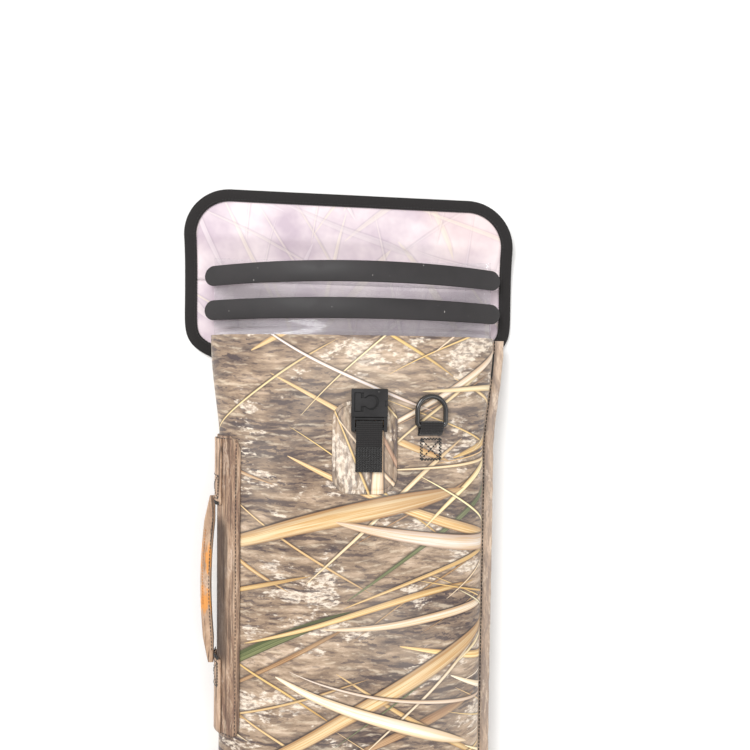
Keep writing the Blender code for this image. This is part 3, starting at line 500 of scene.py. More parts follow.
def flap_cloth(name):
    """Pale coated back of the print, with the reeds faintly showing through."""
    material, g, shader = new_material(name, Roughness=0.48, Specular_IOR_Level=0.4)
    place = object_place(g)
    layers = ((58, 0.10, 0.030, 11.3, 0.70), (-40, 0.12, 0.036, 12.1, 0.70), (100, 0.09, 0.028, 13.7, 0.65),
              (20, 0.11, 0.032, 14.2, 0.65), (75, 0.13, 0.044, 16.4, 0.60))
    tone = g.ramp(g.noise(place, 17.0, 4.0, 0.6), [(0.36, colour(196, 178, 190)), (0.62, colour(238, 224, 226))])
    for angle, length, width, seed, density in layers:
        inputs = {"Vector": place, "Length": length, "Width": width, "Seed": seed} | directions(angle)
        inputs |= {"Density": density, "Slope": 0.0, "Bend": 0.04, "Under": tone, "Cover": 0.42, "Shading": 0.30}
        inputs |= dict.fromkeys(("Light", "Dark", "Edge"), colour(244, 232, 228)) | {"Shadow": colour(158, 142, 156)}
        tone = group_node(g, BLADES, inputs).outputs["Colour"]
    warm = g.smooth(g.noise(place, 8.0, 1.0), 0.5, 0.7, 0.0, 0.25)
    tone = g.mix(warm, tone, colour(244, 214, 196))
    normal = g.bump(g.noise(place, 30.0, 3.0, 0.5), 1.2 * MM, 0.5)
    normal = g.bump(canvas_weave(g, place, 0.6 * MM), 0.03 * MM, 0.5, normal)
    surface(g, shader, Base_Color=tone, Normal=normal)
    return material


def black_weave(name, tone, pitch=0.9 * MM, along=0, depth=0.10 * MM, turn=0.0):
    """Black woven tape: ribs across it and a fine twill."""
    look = {"Roughness": 0.78, "Sheen_Weight": 0.35, "Sheen_Roughness": 0.4, "Specular_IOR_Level": 0.3}
    material, g, shader = new_material(name, **look)
    place = uv_place(g)
    rib = g.math("SINE", g.times(g.part(place, along), 2 * pi / pitch))
    cross = g.math("SINE", g.times(g.part(place, 1 - along), 2 * pi / (pitch * 0.8)))
    height = g.scale_add(cross, 0.45, rib)
    fuzz = g.noise(place, 2600.0, 2.0, 0.6)
    # The colour follows the weave's height: painted shade in the grooves and a painted highlight on the rib tops.
    base = g.mix(g.smooth(height, -1.2, 1.3), colour(*(c * 0.72 for c in tone)), colour(*(c * 1.12 for c in tone)))
    base = g.mix(g.smooth(fuzz, 0.62, 0.8, 0.0, 0.35), base, colour(150, 144, 140))
    normal = g.bump(height, depth, 0.8, g.bump(fuzz, 0.08 * MM, 0.35))
    surface(g, shader, Base_Color=base, Normal=normal)
    return material


def clear_film(name, alpha=0.15):
    """Clear flexible film with faint streaks of haze and a high gloss."""
    material, g, shader = new_material(name, Roughness=0.10, Coat_Weight=1.0, Coat_Roughness=0.04, Alpha=alpha)
    shader.inputs["Base Color"].default_value = colour(214, 208, 214)
    place = object_place(g)
    streaks = g.noise(g.scaled(place, 5.0, 30.0, 20.0), 1.0, 4.0, 0.6)
    haze = g.smooth(streaks, 0.45, 0.75, alpha * 0.75, alpha * 2.1)
    spots = g.smooth(g.noise(place, 420.0, 1.0), 0.775, 0.80, 0.0, 0.7)
    buckled = g.noise(g.scaled(place, 18.0, 34.0, 34.0), 1.0, 3.0, 0.55)
    surface(g, shader, Alpha=g.math("MAXIMUM", haze, spots), Normal=g.bump(buckled, 3.0 * MM, 0.7))
    return material


def moulded(name, tone, roughness, grain=0.02 * MM, specks=0.0, **constants):
    """Moulded plastic, rubber or enamel: a fine grain, softly uneven gloss and a few pale specks of dust."""
    material, g, shader = new_material(name, Roughness=roughness, **constants)
    place = object_place(g)
    fine = g.noise(place, 1900.0, 3.0, 0.6)
    broad = g.noise(place, 70.0, 3.0, 0.55)
    base = g.mix(g.smooth(broad, 0.3, 0.7), colour(*(c * 0.9 for c in tone)), colour(*(c * 1.1 for c in tone)))
    dust = g.smooth(g.noise(place, 330.0, 2.0, 0.4), 0.775, 0.80, 0.0, specks)
    base = g.mix(dust, base, colour(205, 200, 196))
    rough = g.smooth(broad, 0.3, 0.7, roughness - 0.06, roughness + 0.06)
    surface(g, shader, Base_Color=base, Roughness=rough, Normal=g.bump(fine, grain, 0.6))
    return material


def thread(name, tone):
    material, g, shader = new_material(name, Roughness=0.65, Sheen_Weight=0.4)
    place = object_place(g)
    twist = g.noise(place, 2200.0, 2.0, 0.5)
    base = g.mix(g.smooth(twist, 0.3, 0.7), colour(*(c * 0.75 for c in tone)), colour(*tone))
    surface(g, shader, Base_Color=base, Normal=g.bump(twist, 0.06 * MM, 0.6))
    return material


def plain_weave(name, dark, light, scale):
    material, g, shader = new_material(name, Roughness=0.85)
    place = object_place(g)
    cells = g.noise(place, scale, 4.0, 0.65)
    base = g.mix(g.smooth(cells, 0.35, 0.65), colour(*dark), colour(*light))
    surface(g, shader, Base_Color=base, Normal=g.bump(cells, 0.4 * MM, 0.6))
    return material


MATERIALS = {
    "cloth": printed_cloth("printed_cloth"),
    "cloth_upright": printed_cloth("printed_cloth_upright", turn=radians(90), wash=0.05),
    "tape": bark_tape("seam_tape_print", colour(230, 208, 190), 0.35),
    "wrap": bark_tape("wrap_print_and_painted_shade", colour(172, 134, 108), 0.40, streaks=0.55),
    "grip": bark_tape("grip_print", colour(206, 168, 138), 0.50, sideways=True, streaks=0.75),
    "flap": flap_cloth("flap_back_of_print"),
    "binding": black_weave("binding_tape", (40, 37, 37), pitch=0.7 * MM, along=1),
    "webbing": black_weave("ribbed_webbing", (40, 38, 38), pitch=1.5 * MM, along=1, depth=0.16 * MM),
    "film": clear_film("clear_film"),
    "strip": moulded("strip_rubber", (42, 39, 40), 0.62, grain=0.03 * MM, specks=0.8),
    "plastic": moulded("buckle_plastic", (27, 25, 26), 0.36, grain=0.03 * MM, specks=0.4),
    "steel": moulded("ring_enamel", (34, 31, 29), 0.22, grain=0.01 * MM, Metallic=0.0, Coat_Weight=0.6),
    "thread": thread("black_thread", (26, 24, 24)),
    "amber": thread("amber_thread", (224, 142, 52)),
    "foam": plain_weave("foam", (44, 42, 42), (66, 62, 62), 900.0),
    "lining": plain_weave("lining", (150, 138, 134), (196, 184, 178), 1500.0),
    "magnet": moulded("magnet_plating", (150, 150, 152), 0.3, Metallic=1.0),
}


# Mesh helpers


def coat(obj, material):
    obj.data.materials.clear()
    obj.data.materials.append(MATERIALS[material])


def finished(obj, material, body):
    coat(obj, material)
    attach(obj, body)
    return obj


def mesh_piece(name, points, faces, uvs=None, sharp=50):
    mesh = bpy.data.meshes.new(name)
    mesh.from_pydata([tuple(p) for p in points], [], faces)
    if uvs is not None:
        layer = mesh.uv_layers.new(name="cloth")
        for loop in mesh.loops:
            layer.data[loop.index].uv = uvs[loop.vertex_index]
    mesh.update()
    mesh.shade_smooth()
    mesh.set_sharp_from_angle(angle=radians(sharp))
    obj = bpy.data.objects.new(name, mesh)
    bpy.context.scene.collection.objects.link(obj)
    return obj


def turn_out(obj):
    shape = bmesh.new()
    shape.from_mesh(obj.data)
    bmesh.ops.recalc_face_normals(shape, faces=shape.faces)
    if shape.calc_volume(signed=True) < 0:
        bmesh.ops.reverse_faces(shape, faces=shape.faces)
    shape.to_mesh(obj.data)
    shape.free()
    return obj


def tube_of_rings(name, rings, uvs=None, sharp=50):
    """A closed solid through rings of equally many points. uvs holds one (u, v) for each point."""
    count = len(rings[0])
    faces = [tuple(range(count))[::-1]]
    for i in range(len(rings) - 1):
        for j in range(count):
            k = (j + 1) % count
            faces.append((i * count + j, i * count + k, (i + 1) * count + k, (i + 1) * count + j))
    faces.append(tuple((len(rings) - 1) * count + j for j in range(count)))
    points = [p for ring in rings for p in ring]
    return turn_out(mesh_piece(name, points, faces, uvs, sharp))


def sheet_between(name, rows, thickness, uvs, sharp=60):
    """A sheet through a grid of points, with a true thickness added below it."""
    width = len(rows[0])
    faces = []
    for i in range(len(rows) - 1):
        for j in range(width - 1):
            a = i * width + j
            faces.append((a, a + 1, a + width + 1, a + width))
    obj = mesh_piece(name, [p for row in rows for p in row], faces, uvs, sharp)
    solidify = obj.modifiers.new("thickness", "SOLIDIFY")
    solidify.thickness = thickness
    solidify.offset = -1
    apply_modifiers(obj)
    return obj


def apply_modifiers(obj):
    bpy.context.view_layer.update()
    mesh = bpy.data.meshes.new_from_object(obj.evaluated_get(bpy.context.evaluated_depsgraph_get()))
    obj.modifiers.clear()
    obj.data = mesh


def steps_between(start, end, step):
    count = max(1, round(abs(end - start) / step))
    return [start + (end - start) * i / count for i in range(count + 1)]


def arc_lengths(points):
    total, lengths = 0.0, [0.0]
    for (x0, z0), (x1, z1) in zip(points, points[1:]):
        total += hypot(x1 - x0, z1 - z0)
        lengths.append(total)
    return lengths


# Places on the front that something is sewn or welded to: (x, v, half width, half length)
HELD_FLAT = ((0.009, -0.085, 0.030, 0.040), (0.0587, -0.080, 0.016, 0.026), (0.0587, -1.072, 0.016, 0.026),
             (-0.096, -0.193, 0.045, 0.125))


def puff(x, v):
    """How far the padding pushes the front cloth up between the places where it is held."""
    half_width = section_sizes(v)[0]
    free = min(1.0, max(0.0, (-v - 0.004) / 0.03))
    for held_x, held_v, reach_x, reach_v in HELD_FLAT:
        away = max(abs(x - held_x) / reach_x, abs(v - held_v) / reach_v)
        free = min(free, min(1.0, max(0.0, (away - 1) / 0.5)))
    across = min(1.0, abs(x) / half_width)
    soft = max(0.0, 0.55 + noise.noise(Vector((x * 17, v * 12, 1.3)))) * 1.3 * MM * (1 - across**4)
    pucker = max(0.0, sin(v * 2 * pi / 0.0145 + 3 * noise.noise(Vector((0, v * 30, 5))))) * 0.5 * MM
    return free * (soft + pucker * max(0.0, (across - 0.82) / 0.18) * (1 - across**16))


def cloth_half(name, outline, start, end, inset, thickness, side, step=0.004):
    """Front or back half of the tube as a thick cloth, with its flat pattern as UVs."""
    rings, uvs = [], []
    for v in steps_between(start, end, step):
        outer, inner = outline(v, inset), outline(v, inset + thickness)[::-1]
        if side > 0:
            outer = [(x, z + puff(x, v)) for x, z in outer]
        rings.append([case(x, v, z) for x, z in outer + inner])
        lengths = arc_lengths(outer)
        middle = lengths[-1] / 2
        flat = [(side * (length - middle), v) for length in lengths]
        uvs += flat + flat[::-1]
    return tube_of_rings(name, rings, uvs)


def capsules(name, segments, radius, material, body):
    """Short bent threads, one for each (start, end, up) segment."""
    points, faces = [], []
    sides = 5
    stations = ((0, 0.35, -0.8), (0.12, 0.9, 0.0), (0.5, 1.0, 0.35), (0.88, 0.9, 0.0), (1, 0.35, -0.8))
    for start, end, up in segments:
        along = (end - start).normalized()
        across = along.cross(up).normalized()
        over = across.cross(along).normalized()
        first = len(points)
        for share, size, rise in stations:
            centre = start.lerp(end, share) + over * radius * rise
            for k in range(sides):
                angle = 2 * pi * k / sides
                points.append(centre + (across * cos(angle) + over * sin(angle)) * radius * size)
        for r in range(4):
            for k in range(sides):
                m = (k + 1) % sides
                a, b = first + r * sides, first + (r + 1) * sides
                faces.append((a + k, a + m, b + m, b + k))
        faces.append(tuple(first + k for k in range(sides))[::-1])
        faces.append(tuple(first + 4 * sides + k for k in range(sides)))
    return finished(mesh_piece(name, points, faces, sharp=80), material, body)


def dashes(path, pitch, fill, up=Vector((0, 0, 1))):
    """Segments of a run of stitches along a path of points."""
    segments = []
    lengths = [0.0]
    for a, b in zip(path, path[1:]):
        lengths.append(lengths[-1] + (b - a).length)

    def place(distance):
        for i in range(len(path) - 1):
            if distance <= lengths[i + 1] or i == len(path) - 2:
                span = max(lengths[i + 1] - lengths[i], 1e-9)
                return path[i].lerp(path[i + 1], (distance - lengths[i]) / span)

    count = max(1, int(lengths[-1] / pitch))
    for i in range(count):
        start = lengths[-1] * i / count
        segments.append((place(start), place(start + lengths[-1] / count * fill), up))
    return segments


# Body


def make_body():
    front = cloth_half("front_cloth", front_outline, 0, CLOTH_END, 0, 1.2 * MM, 1)
    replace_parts(finished(front, "cloth", "case"), "front_shell")
    back = cloth_half("back_cloth", back_outline, 0, CLOTH_END, 0, 1.2 * MM, -1)
    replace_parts(finished(back, "cloth", "case"), "back_shell")

    rings, uvs = [], []
    ends = [BODY_LENGTH - END_RADIUS + END_RADIUS * sin(radians(a)) for a in range(6, 81, 6)]
    stations = steps_between(-1.262, CLOTH_END, 0.004) + [-v for v in ends]
    for v in stations:
        outer = front_outline(v, -1.6 * MM, 40) + back_outline(v, -1.6 * MM, 10)[::-1]
        rings.append([case(x, v, z) for x, z in outer])
        lengths = arc_lengths(outer)
        uvs += [(length, v) for length in lengths]
    last = stations[-1] - 0.4 * MM
    rings.append([case(x * 0.97, last, 0.019 + (z - 0.019) * 0.9) for x, z in outer])
    uvs += uvs[-len(outer):]
    boot = tube_of_rings("boot_cloth", rings, uvs)
    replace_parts(finished(boot, "wrap", "case"), "muzzle_boot")
    edge = [case(x, -1.2652, z + 0.25 * MM) for x, z in front_outline(-1.2652, -1.6 * MM, 60)[2:-2]]
    capsules("boot_stitches", dashes(edge, 3.2 * MM, 0.72), 0.30 * MM, "thread", "case")


def make_seam():
    """The flange down the right side: printed tape folded over the seam, held by a black line of stitches."""
    rings, uvs = [], []
    stations = steps_between(-0.0012, -1.258, 0.006)
    for v in stations:
        half_width, seam, _, _ = section_sizes(v)
        pucker = 0.45 * MM * sin(v * 2 * pi / 0.021) + 0.3 * MM * sin(v * 2 * pi / 0.0137 + 1.0)
        inner, outer = half_width + 0.35 * MM, half_width + 9.6 * MM + pucker * 0.35
        low, high = seam - 1.3 * MM, seam + 1.3 * MM + pucker * 0.25
        middle, stitch = (inner + outer) / 2, half_width + 1.9 * MM
        profile = [(inner, low + 0.2 * MM), (middle, low), (outer - 0.5 * MM, low), (outer, seam - 0.4 * MM)]
        profile += [(outer, seam + 0.5 * MM), (outer - 0.5 * MM, high), (middle, high + 0.3 * MM)]
        profile += [(stitch + 0.9 * MM, high), (stitch, high - 0.7 * MM), (stitch - 0.9 * MM, high)]
        profile.append((inner, high - 0.3 * MM))
        rings.append([case(x, v, z) for x, z in profile])
        uvs += [(v, x) for x, _ in profile]
    tape = tube_of_rings("seam_tape", rings, uvs, 40)
    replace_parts(finished(tape, "tape", "case"), "side_seam_tape")
    path = []
    for v in stations:
        half_width, seam, _, _ = section_sizes(v)
        path.append(case(half_width + 1.9 * MM, v, seam + 1.05 * MM))
    # Painted shade: a black rod in the thread's material lies in the seam tape near the mouth and stands for the
    # dark, shaded gap there.
    slit = []
    for v in (-0.010, -0.033):
        half_width, seam, _, _ = section_sizes(v)
        slit.append(case(half_width + 1.4 * MM, v, seam + 0.75 * MM))
    capsules("seam_gap_painted_shade", [(slit[0], slit[1], Vector((0, 0, 1)))], 1.1 * MM, "thread", "case")
    capsules("seam_stitches", dashes(path, 3.0 * MM, 0.8), 0.42 * MM, "thread", "case")


# Cross-section of webbing, as shares of its half width and half thickness
STRAP_SECTION = ((-1, -0.35), (-0.95, -0.9), (-0.5, -1), (0, -1), (0.5, -1), (0.95, -0.9), (1, -0.35),
                 (1, 0.35), (0.95, 0.9), (0.5, 1), (0, 1), (-0.5, 1), (-0.95, 0.9), (-1, 0.35))


def strap_ribbon(name, points, width, thickness, material, body, across=Vector((1, 0, 0))):
    """Flat webbing whose middle follows points, with softly rounded edges and its weave's UVs."""
    rings, uvs = [], []
    travelled = 0.0
    for i, point in enumerate(points):
        before, after = points[max(i - 1, 0)], points[min(i + 1, len(points) - 1)]
        if i:
            travelled += (point - points[i - 1]).length
        normal = across.cross((after - before).normalized()).normalized()
        for sx, sz in STRAP_SECTION:
            rings.append(point + across * (sx * width / 2) + normal * (sz * thickness / 2))
            uvs.append((sx * width / 2, travelled))
    count = len(STRAP_SECTION)
    rings = [rings[i : i + count] for i in range(0, len(rings), count)]
    return finished(tube_of_rings(name, rings, uvs, 40), material, body)


# Collar


def ripple(x, v):
    """How far the film sags between its folds."""
    return max(0.0, 0.5 + noise.noise(Vector((x * 30, v * 60, 9.1)))) * 0.8 * MM * min(1.0, max(0.0, v / 0.01))


def make_collar():
    tops = {"front": 0.0565, "back": 0.0635}
    for side, outline in (("front", front_outline), ("back", back_outline)):
        spans = {"tuck": (-0.012, 0.0060), "lower": (0.0062, 0.0343), "upper": (0.0344, tops[side])}
        for name, (start, end) in spans.items():
            rings, uvs = [], []
            for v in steps_between(start, end, 0.003):
                outer, inner = outline(v, 1.5 * MM), outline(v, 1.9 * MM)[::-1]
                if side == "front":
                    outer, inner = ([(x, z - ripple(x, v)) for x, z in wall] for wall in (outer, inner))
                rings.append([case(x, v, z) for x, z in outer + inner])
                lengths = arc_lengths(outer)
                uvs += [(length, v) for length in lengths + lengths[::-1]]
            film = tube_of_rings(f"{side}_film_{name}", rings, uvs)
            body = {"tuck": "case", "lower": "collar_lower", "upper": "collar_upper"}[name]
            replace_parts(finished(film, "film", body), f"film_{side}_{name}")
            if name != "tuck":
                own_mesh(film)
            arc_lengths(outline((start + end) / 2, 1.5 * MM))[-1]
    for name, start in (("lower", 0.0126), ("upper", 0.0402)):
        strip = make_strip(name, start)
        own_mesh(strip)


def make_strip(name, start):
    """A flat rubbery strip with round ends and softened edges, bowed over the mouth."""
    half_length, width, thickness = 0.121, 0.016, 1.8 * MM
    middle, radius = start + width / 2, width / 2
    crown = between(CROWN_HEIGHT, start + width) - 1.5 * MM + 0.9 * MM
    rings = []
    for i in range(97):
        share = -cos(pi * i / 96)
        x = half_length * share
        inset = min(radius, half_length - abs(x))
        half = max(0.5 * MM, sqrt(radius**2 - (radius - inset) ** 2))
        z = 0.0095 + (crown - 0.0095) * (1 - share * share)
        edge = min(0.5 * MM, half * 0.5)
        profile = [(-half, 0.35 * MM), (-half + edge, 0), (0, 0), (half - edge, 0), (half, 0.35 * MM)]
        profile += [(half, thickness - 0.6 * MM), (half - edge * 0.35, thickness - 0.2 * MM)]
        profile.append((half - edge, thickness))
        profile += [(0, thickness + 0.08 * MM), (-half + edge, thickness)]
        profile += [(-half + edge * 0.35, thickness - 0.2 * MM), (-half, thickness - 0.6 * MM)]
        rings.append([case(x, middle + dv, z + dz) for dv, dz in profile])
    strip = tube_of_rings(f"strip_{name}", rings, sharp=38)
    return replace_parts(finished(strip, "strip", f"collar_{name}"), f"stiffener_strip_{name}") or strip


# Flap


def flap_half(v):
    """Half the flap's width at v, with its two round corners and its narrowing hem."""
    if v < HEM_START:
        return FLAP_HALF_WIDTH - HEM_INSET * ((HEM_START - v) / (HEM_START - HEM_END)) ** 5
    drop = max(0.0, v - (FLAP_REACH - FLAP_CORNER))
    return FLAP_HALF_WIDTH - FLAP_CORNER + sqrt(max(0.0, FLAP_CORNER**2 - drop**2))


def flap_wave(x, v):
    """How far the soft flap lifts off the floor."""
    n = noise.noise(Vector((x * 14, v * 16, 3.7)))
    return max(0.0, 0.5 + n) * 0.4 * MM * min(1.0, max(0.0, (v - 0.01) / 0.03))


def make_flap():
    pieces = (("lower", HEM_END, FLAP_SPLIT, ("case", "flap_root"), FLAP_FOLDS[0]),
              ("upper", FLAP_SPLIT, FLAP_REACH - SHEET_INSET, ("flap_root", "flap_tip"), FLAP_FOLDS[1]))
    for name, start, end, bodies, fold in pieces:
        rows, uvs = [], []
        stations = steps_between(start, end, 0.003)
        for v in stations:
            half = flap_half(v) - SHEET_INSET
            row = []
            for k in range(73):
                x = -half + 2 * half * k / 72
                row.append(flap(x, v, flap_level(v) + 0.25 * MM + flap_wave(x, v)))
                uvs.append((x, v))
            rows.append(row)
        sheet = sheet_between(f"flap_sheet_{name}", rows, 1.2 * MM, uvs)
        area = sum(2 * (flap_half(v) - SHEET_INSET) for v in stations) / len(stations) * (end - start)
        coat(sheet, "flap")
        nodes = ("flap_hem", "flap_root_panel") if name == "lower" else ("flap_tip_panel",)
        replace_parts(sheet, *nodes)
        blend_over(sheet, bodies, fold)
    make_binding()


def blend_over(obj, bodies, fold):
    level = flap_level(fold) + 1.6 * MM
    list(bodies)
    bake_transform(obj)


def binding_path(start, end, step=1.0 * MM):
    """The flap's left edge from start to end, as (x, v) points about a step apart."""
    fine = steps_between(start, min(end, FLAP_REACH - FLAP_CORNER), step)
    path = [(-flap_half(v), v) for v in fine]
    if end > FLAP_REACH - FLAP_CORNER:
        centre = (-(FLAP_HALF_WIDTH - FLAP_CORNER), FLAP_REACH - FLAP_CORNER)
        for angle in steps_between(0, pi / 2, step / FLAP_CORNER)[1:]:
            path.append((centre[0] - FLAP_CORNER * cos(angle), centre[1] + FLAP_CORNER * sin(angle)))
        path += [(x, FLAP_REACH) for x in steps_between(centre[0], -centre[0], step)[1:]]
        left = len(fine) + len(steps_between(0, pi / 2, step / FLAP_CORNER)) - 1
        path += [(-x, v) for x, v in reversed(path[:left])][1:]
    return path


def bound_edge(name, path, bodies, fold, nodes, stitches_body):
    """Folded tape over an edge of the flap, with a toothed inner edge and a line of stitches near it."""
    rings, uvs = [], []
    travelled = 0.0
    inner_line = []
    for i, (x, v) in enumerate(path):
        before, after = Vector(path[max(i - 1, 0)]), Vector(path[min(i + 1, len(path) - 1)])
        along = (after - before).normalized()
        into = Vector((along.y, -along.x))
        if i:
            travelled += hypot(x - path[i - 1][0], v - path[i - 1][1])
        tooth = 0.35 * MM if i % 2 else -0.15 * MM
        width = BINDING_WIDTH + tooth
        profile = ((0, 0.0), (0.25 * MM, -1.1 * MM), (2.5 * MM, -1.55 * MM), (width, -1.4 * MM), (width, -0.9 * MM),
                   (width - 0.3 * MM, -0.66 * MM), (width - 0.3 * MM, 0.66 * MM), (width, 0.95 * MM),
                   (width - 0.15 * MM, 1.35 * MM), (width - 2 * MM, 1.45 * MM), (2.5 * MM, 1.6 * MM),
                   (0.25 * MM, 1.15 * MM))
        ring = []
        for d, dz in profile:
            px, pv = x + into.x * d, v + into.y * d
            ring.append(flap(px, pv, flap_level(pv) + dz + flap_wave(px, pv)))
            uvs.append((d, travelled))
        rings.append(ring)
        px, pv = x + into.x * (BINDING_WIDTH - 1.6 * MM), v + into.y * (BINDING_WIDTH - 1.6 * MM)
        inner_line.append(flap(px, pv, flap_level(pv) + 1.5 * MM + flap_wave(px, pv)))
    edge = tube_of_rings(name, rings, uvs, 50)
    coat(edge, "binding")
    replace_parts(edge, *nodes)
    blend_over(edge, bodies, fold)
    run = capsules(f"{name}_stitches", dashes(inner_line, 2.6 * MM, 0.7), 0.22 * MM, "thread", stitches_body)
    run.parent = None
    blend_over(run, bodies, fold)


def make_binding():
    left = binding_path(HEM_END, FLAP_SPLIT)
    right = [(-x, v) for x, v in reversed(left)]
    low = ("case", "flap_root")
    for side, path in (("left", left), ("right", right)):
        nodes = (f"flap_hem_binding_{side}", f"flap_root_binding_{side}")
        bound_edge(f"binding_{side}", path, low, FLAP_FOLDS[0], nodes, "case")
    top, high = binding_path(FLAP_SPLIT, 1), ("flap_root", "flap_tip")
    bound_edge("binding_top", top, high, FLAP_FOLDS[1], ("flap_tip_binding",), "flap_tip")


# Front


def make_patch():
    """A welded patch of the print, its bark upright, pressed flat round its rim."""
    centre = Vector((BUCKLE_X - 0.003, -0.085))
    size, corner = Vector((0.049, 0.070)), 0.014
    rings, uvs = [], []
    steps = 64
    base = PATCH_BASE

    def outline(inset):
        points = []
        half = size / 2 - Vector((inset, inset))
        radius = max(corner - inset, 2 * MM)
        for k in range(steps):
            angle = 2 * pi * k / steps
            direction = Vector((cos(angle), sin(angle)))
            reach = min(half.x / max(abs(direction.x), 1e-6), half.y / max(abs(direction.y), 1e-6))
            point = direction * reach
            inner = half - Vector((radius, radius))
            over = Vector((max(0, abs(point.x) - inner.x), max(0, abs(point.y) - inner.y)))
            if over.x > 0 and over.y > 0:
                over = over.normalized() * radius
                sides = (1 if point.x > 0 else -1, 1 if point.y > 0 else -1)
                point = Vector(((inner.x + over.x) * sides[0], (inner.y + over.y) * sides[1]))
            points.append(centre + point)
        return points

    levels = ((0, 0.0), (0, 0.5), (0.5, 1.05), (2.4, 1.1), (2.9, 0.5), (3.4, 1.15), (6, 1.6), (16, 1.6), (23, 1.6))
    for inset, height in levels:
        for x, v in outline(inset * MM):
            rings.append(case(x, v, base + height * MM))
            uvs.append((x, v))
    rings = [rings[i : i + steps] for i in range(0, len(rings), steps)]
    patch = tube_of_rings("patch_cloth", rings, uvs)
    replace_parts(finished(patch, "cloth_upright", "case"), "buckle_patch")


def make_strap():
    low = PATCH_BASE + 1.5 * MM + 0.3 * MM
    x = BUCKLE_X
    sewn = []
    for v in steps_between(-0.1028, -0.0834, 1.0 * MM):
        sewn.append(case(x, v, low + WEBBING / 2 + 0.05 * MM))
    under = strap_ribbon("strap_under", sewn, 0.020, WEBBING, "webbing", "case")
    over = [p + Vector((0, 0, WEBBING + 0.15 * MM)) for p in sewn]
    top = strap_ribbon("strap_over", over, 0.0196, WEBBING, "webbing", "case")
    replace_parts(top, "strap_sewn_end")
    loop = []
    bar = (-0.0672, low + 1.8 * MM + WEBBING + 0.2 * MM)
    radius = 1.8 * MM + WEBBING / 2
    tail = [(-0.0833, low + 2.0 * MM), (-0.0790, low + 2.3 * MM)]
    tail += [(-0.0745, low + 4.0 * MM), (-0.0710, low + 5.2 * MM)]
    angles = [pi * 0.62 - pi * 1.14 * k / 22 for k in range(23)]
    arc = [(bar[0] + radius * cos(a), bar[1] + radius * sin(a)) for a in angles]
    back = [(-0.0745, low + 0.85 * MM), (-0.0790, low + 0.65 * MM), (-0.0833, low + 0.65 * MM)]
    for v, z in tail + arc + back:
        loop.append(case(x, v, z))
    ribbon = strap_ribbon("strap_turn", loop, 0.0196, WEBBING, "webbing", "front_strap")
    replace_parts(ribbon, "strap_loop")

    bar_height = bar[1]
    rings = []
    for side in (-1, -0.97, 0.97, 1):
        full = 1.0 if abs(side) < 1 else 0.8
        rings.append([case(x + side * 11.9 * MM, -0.0626 + dv * full * MM, bar_height + dz * full * MM)
                      for dv, dz in ((-1.2, -1.4), (1.6, -1.4), (1.6, 1.5), (0.6, 2.1), (-0.8, 2.1), (-1.2, 1.6))])
    bridge = tube_of_rings("buckle_bridge", rings, sharp=30)
    finished(bridge, "plastic", "front_buckle")

    up = Vector((0, 0, 1))
    level = low + 2 * WEBBING + 0.22 * MM
    segments = []
    for i, v in enumerate(steps_between(-0.1018, -0.0845, 0.9 * MM)):
        for k in range(9):
            start = x - 8.8 * MM + 2.05 * MM * k + (0.5 * MM if i % 2 else 0)
            jitter = noise.noise(Vector((k * 3.1, i * 2.7, 0))) * 0.5 * MM
            segments.append((case(start, v + jitter, level), case(start + 1.5 * MM, v + jitter * 0.4, level), up))
    capsules("strap_dense_stitches", segments, 0.36 * MM, "thread", "case")


def make_rings():
    for name, joint in (("upper", "ring_upper_swing"), ("lower", "ring_lower_swing")):
        found = [j for j in frame["record"]["behaviour"]["joints"] if j["name"] == joint][0]
        pivot, axis = Vector(found["pos_m"]), Vector(found["axis"])
        tilt = -atan2(axis.z, axis.x)
        place = Matrix.Translation(pivot) @ Matrix.Rotation(tilt, 4, "Y")
        make_ring(name, place)
        make_tab(name, place)


def make_ring(name, place):
    """A smooth D of round wire about its straight bar."""
    half, rise, corner = 0.011, 0.022, 2.6 * MM
    straight = rise - half
    path = [Vector((x, 0, 0)) for x in steps_between(-half + corner, half - corner, 2 * MM)]
    for k in range(1, 7):
        a = pi / 2 * k / 6
        path.append(Vector((half - corner + corner * sin(a), corner - corner * cos(a), 0)))
    path += [Vector((half, y, 0)) for y in steps_between(corner, straight, 2 * MM)[1:-1]]
    path += [Vector((half * cos(pi * k / 28), straight + half * sin(pi * k / 28), 0)) for k in range(29)]
    path += [Vector((-half, y, 0)) for y in steps_between(straight, corner, 2 * MM)[1:-1]]
    for k in range(6, 0, -1):
        a = pi / 2 * k / 6
        path.append(Vector((-half + corner - corner * sin(a), corner - corner * cos(a), 0)))
    curve = bpy.data.curves.new(f"ring_{name}", "CURVE")
    curve.dimensions = "3D"
    curve.bevel_depth = 1.95 * MM
    curve.bevel_resolution = 5
    spline = curve.splines.new("POLY")
    spline.points.add(len(path) - 1)
    for point, co in zip(spline.points, path):
        point.co = (*(place @ co), 1)
    spline.use_cyclic_u = True
    spline.use_smooth = True
    ring = bpy.data.objects.new(f"ring_{name}", curve)
    bpy.context.scene.collection.objects.link(ring)
    curve.materials.append(MATERIALS["steel"])
    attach(ring, f"sling_ring_{name}")
    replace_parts(ring, f"d_ring_{name}")


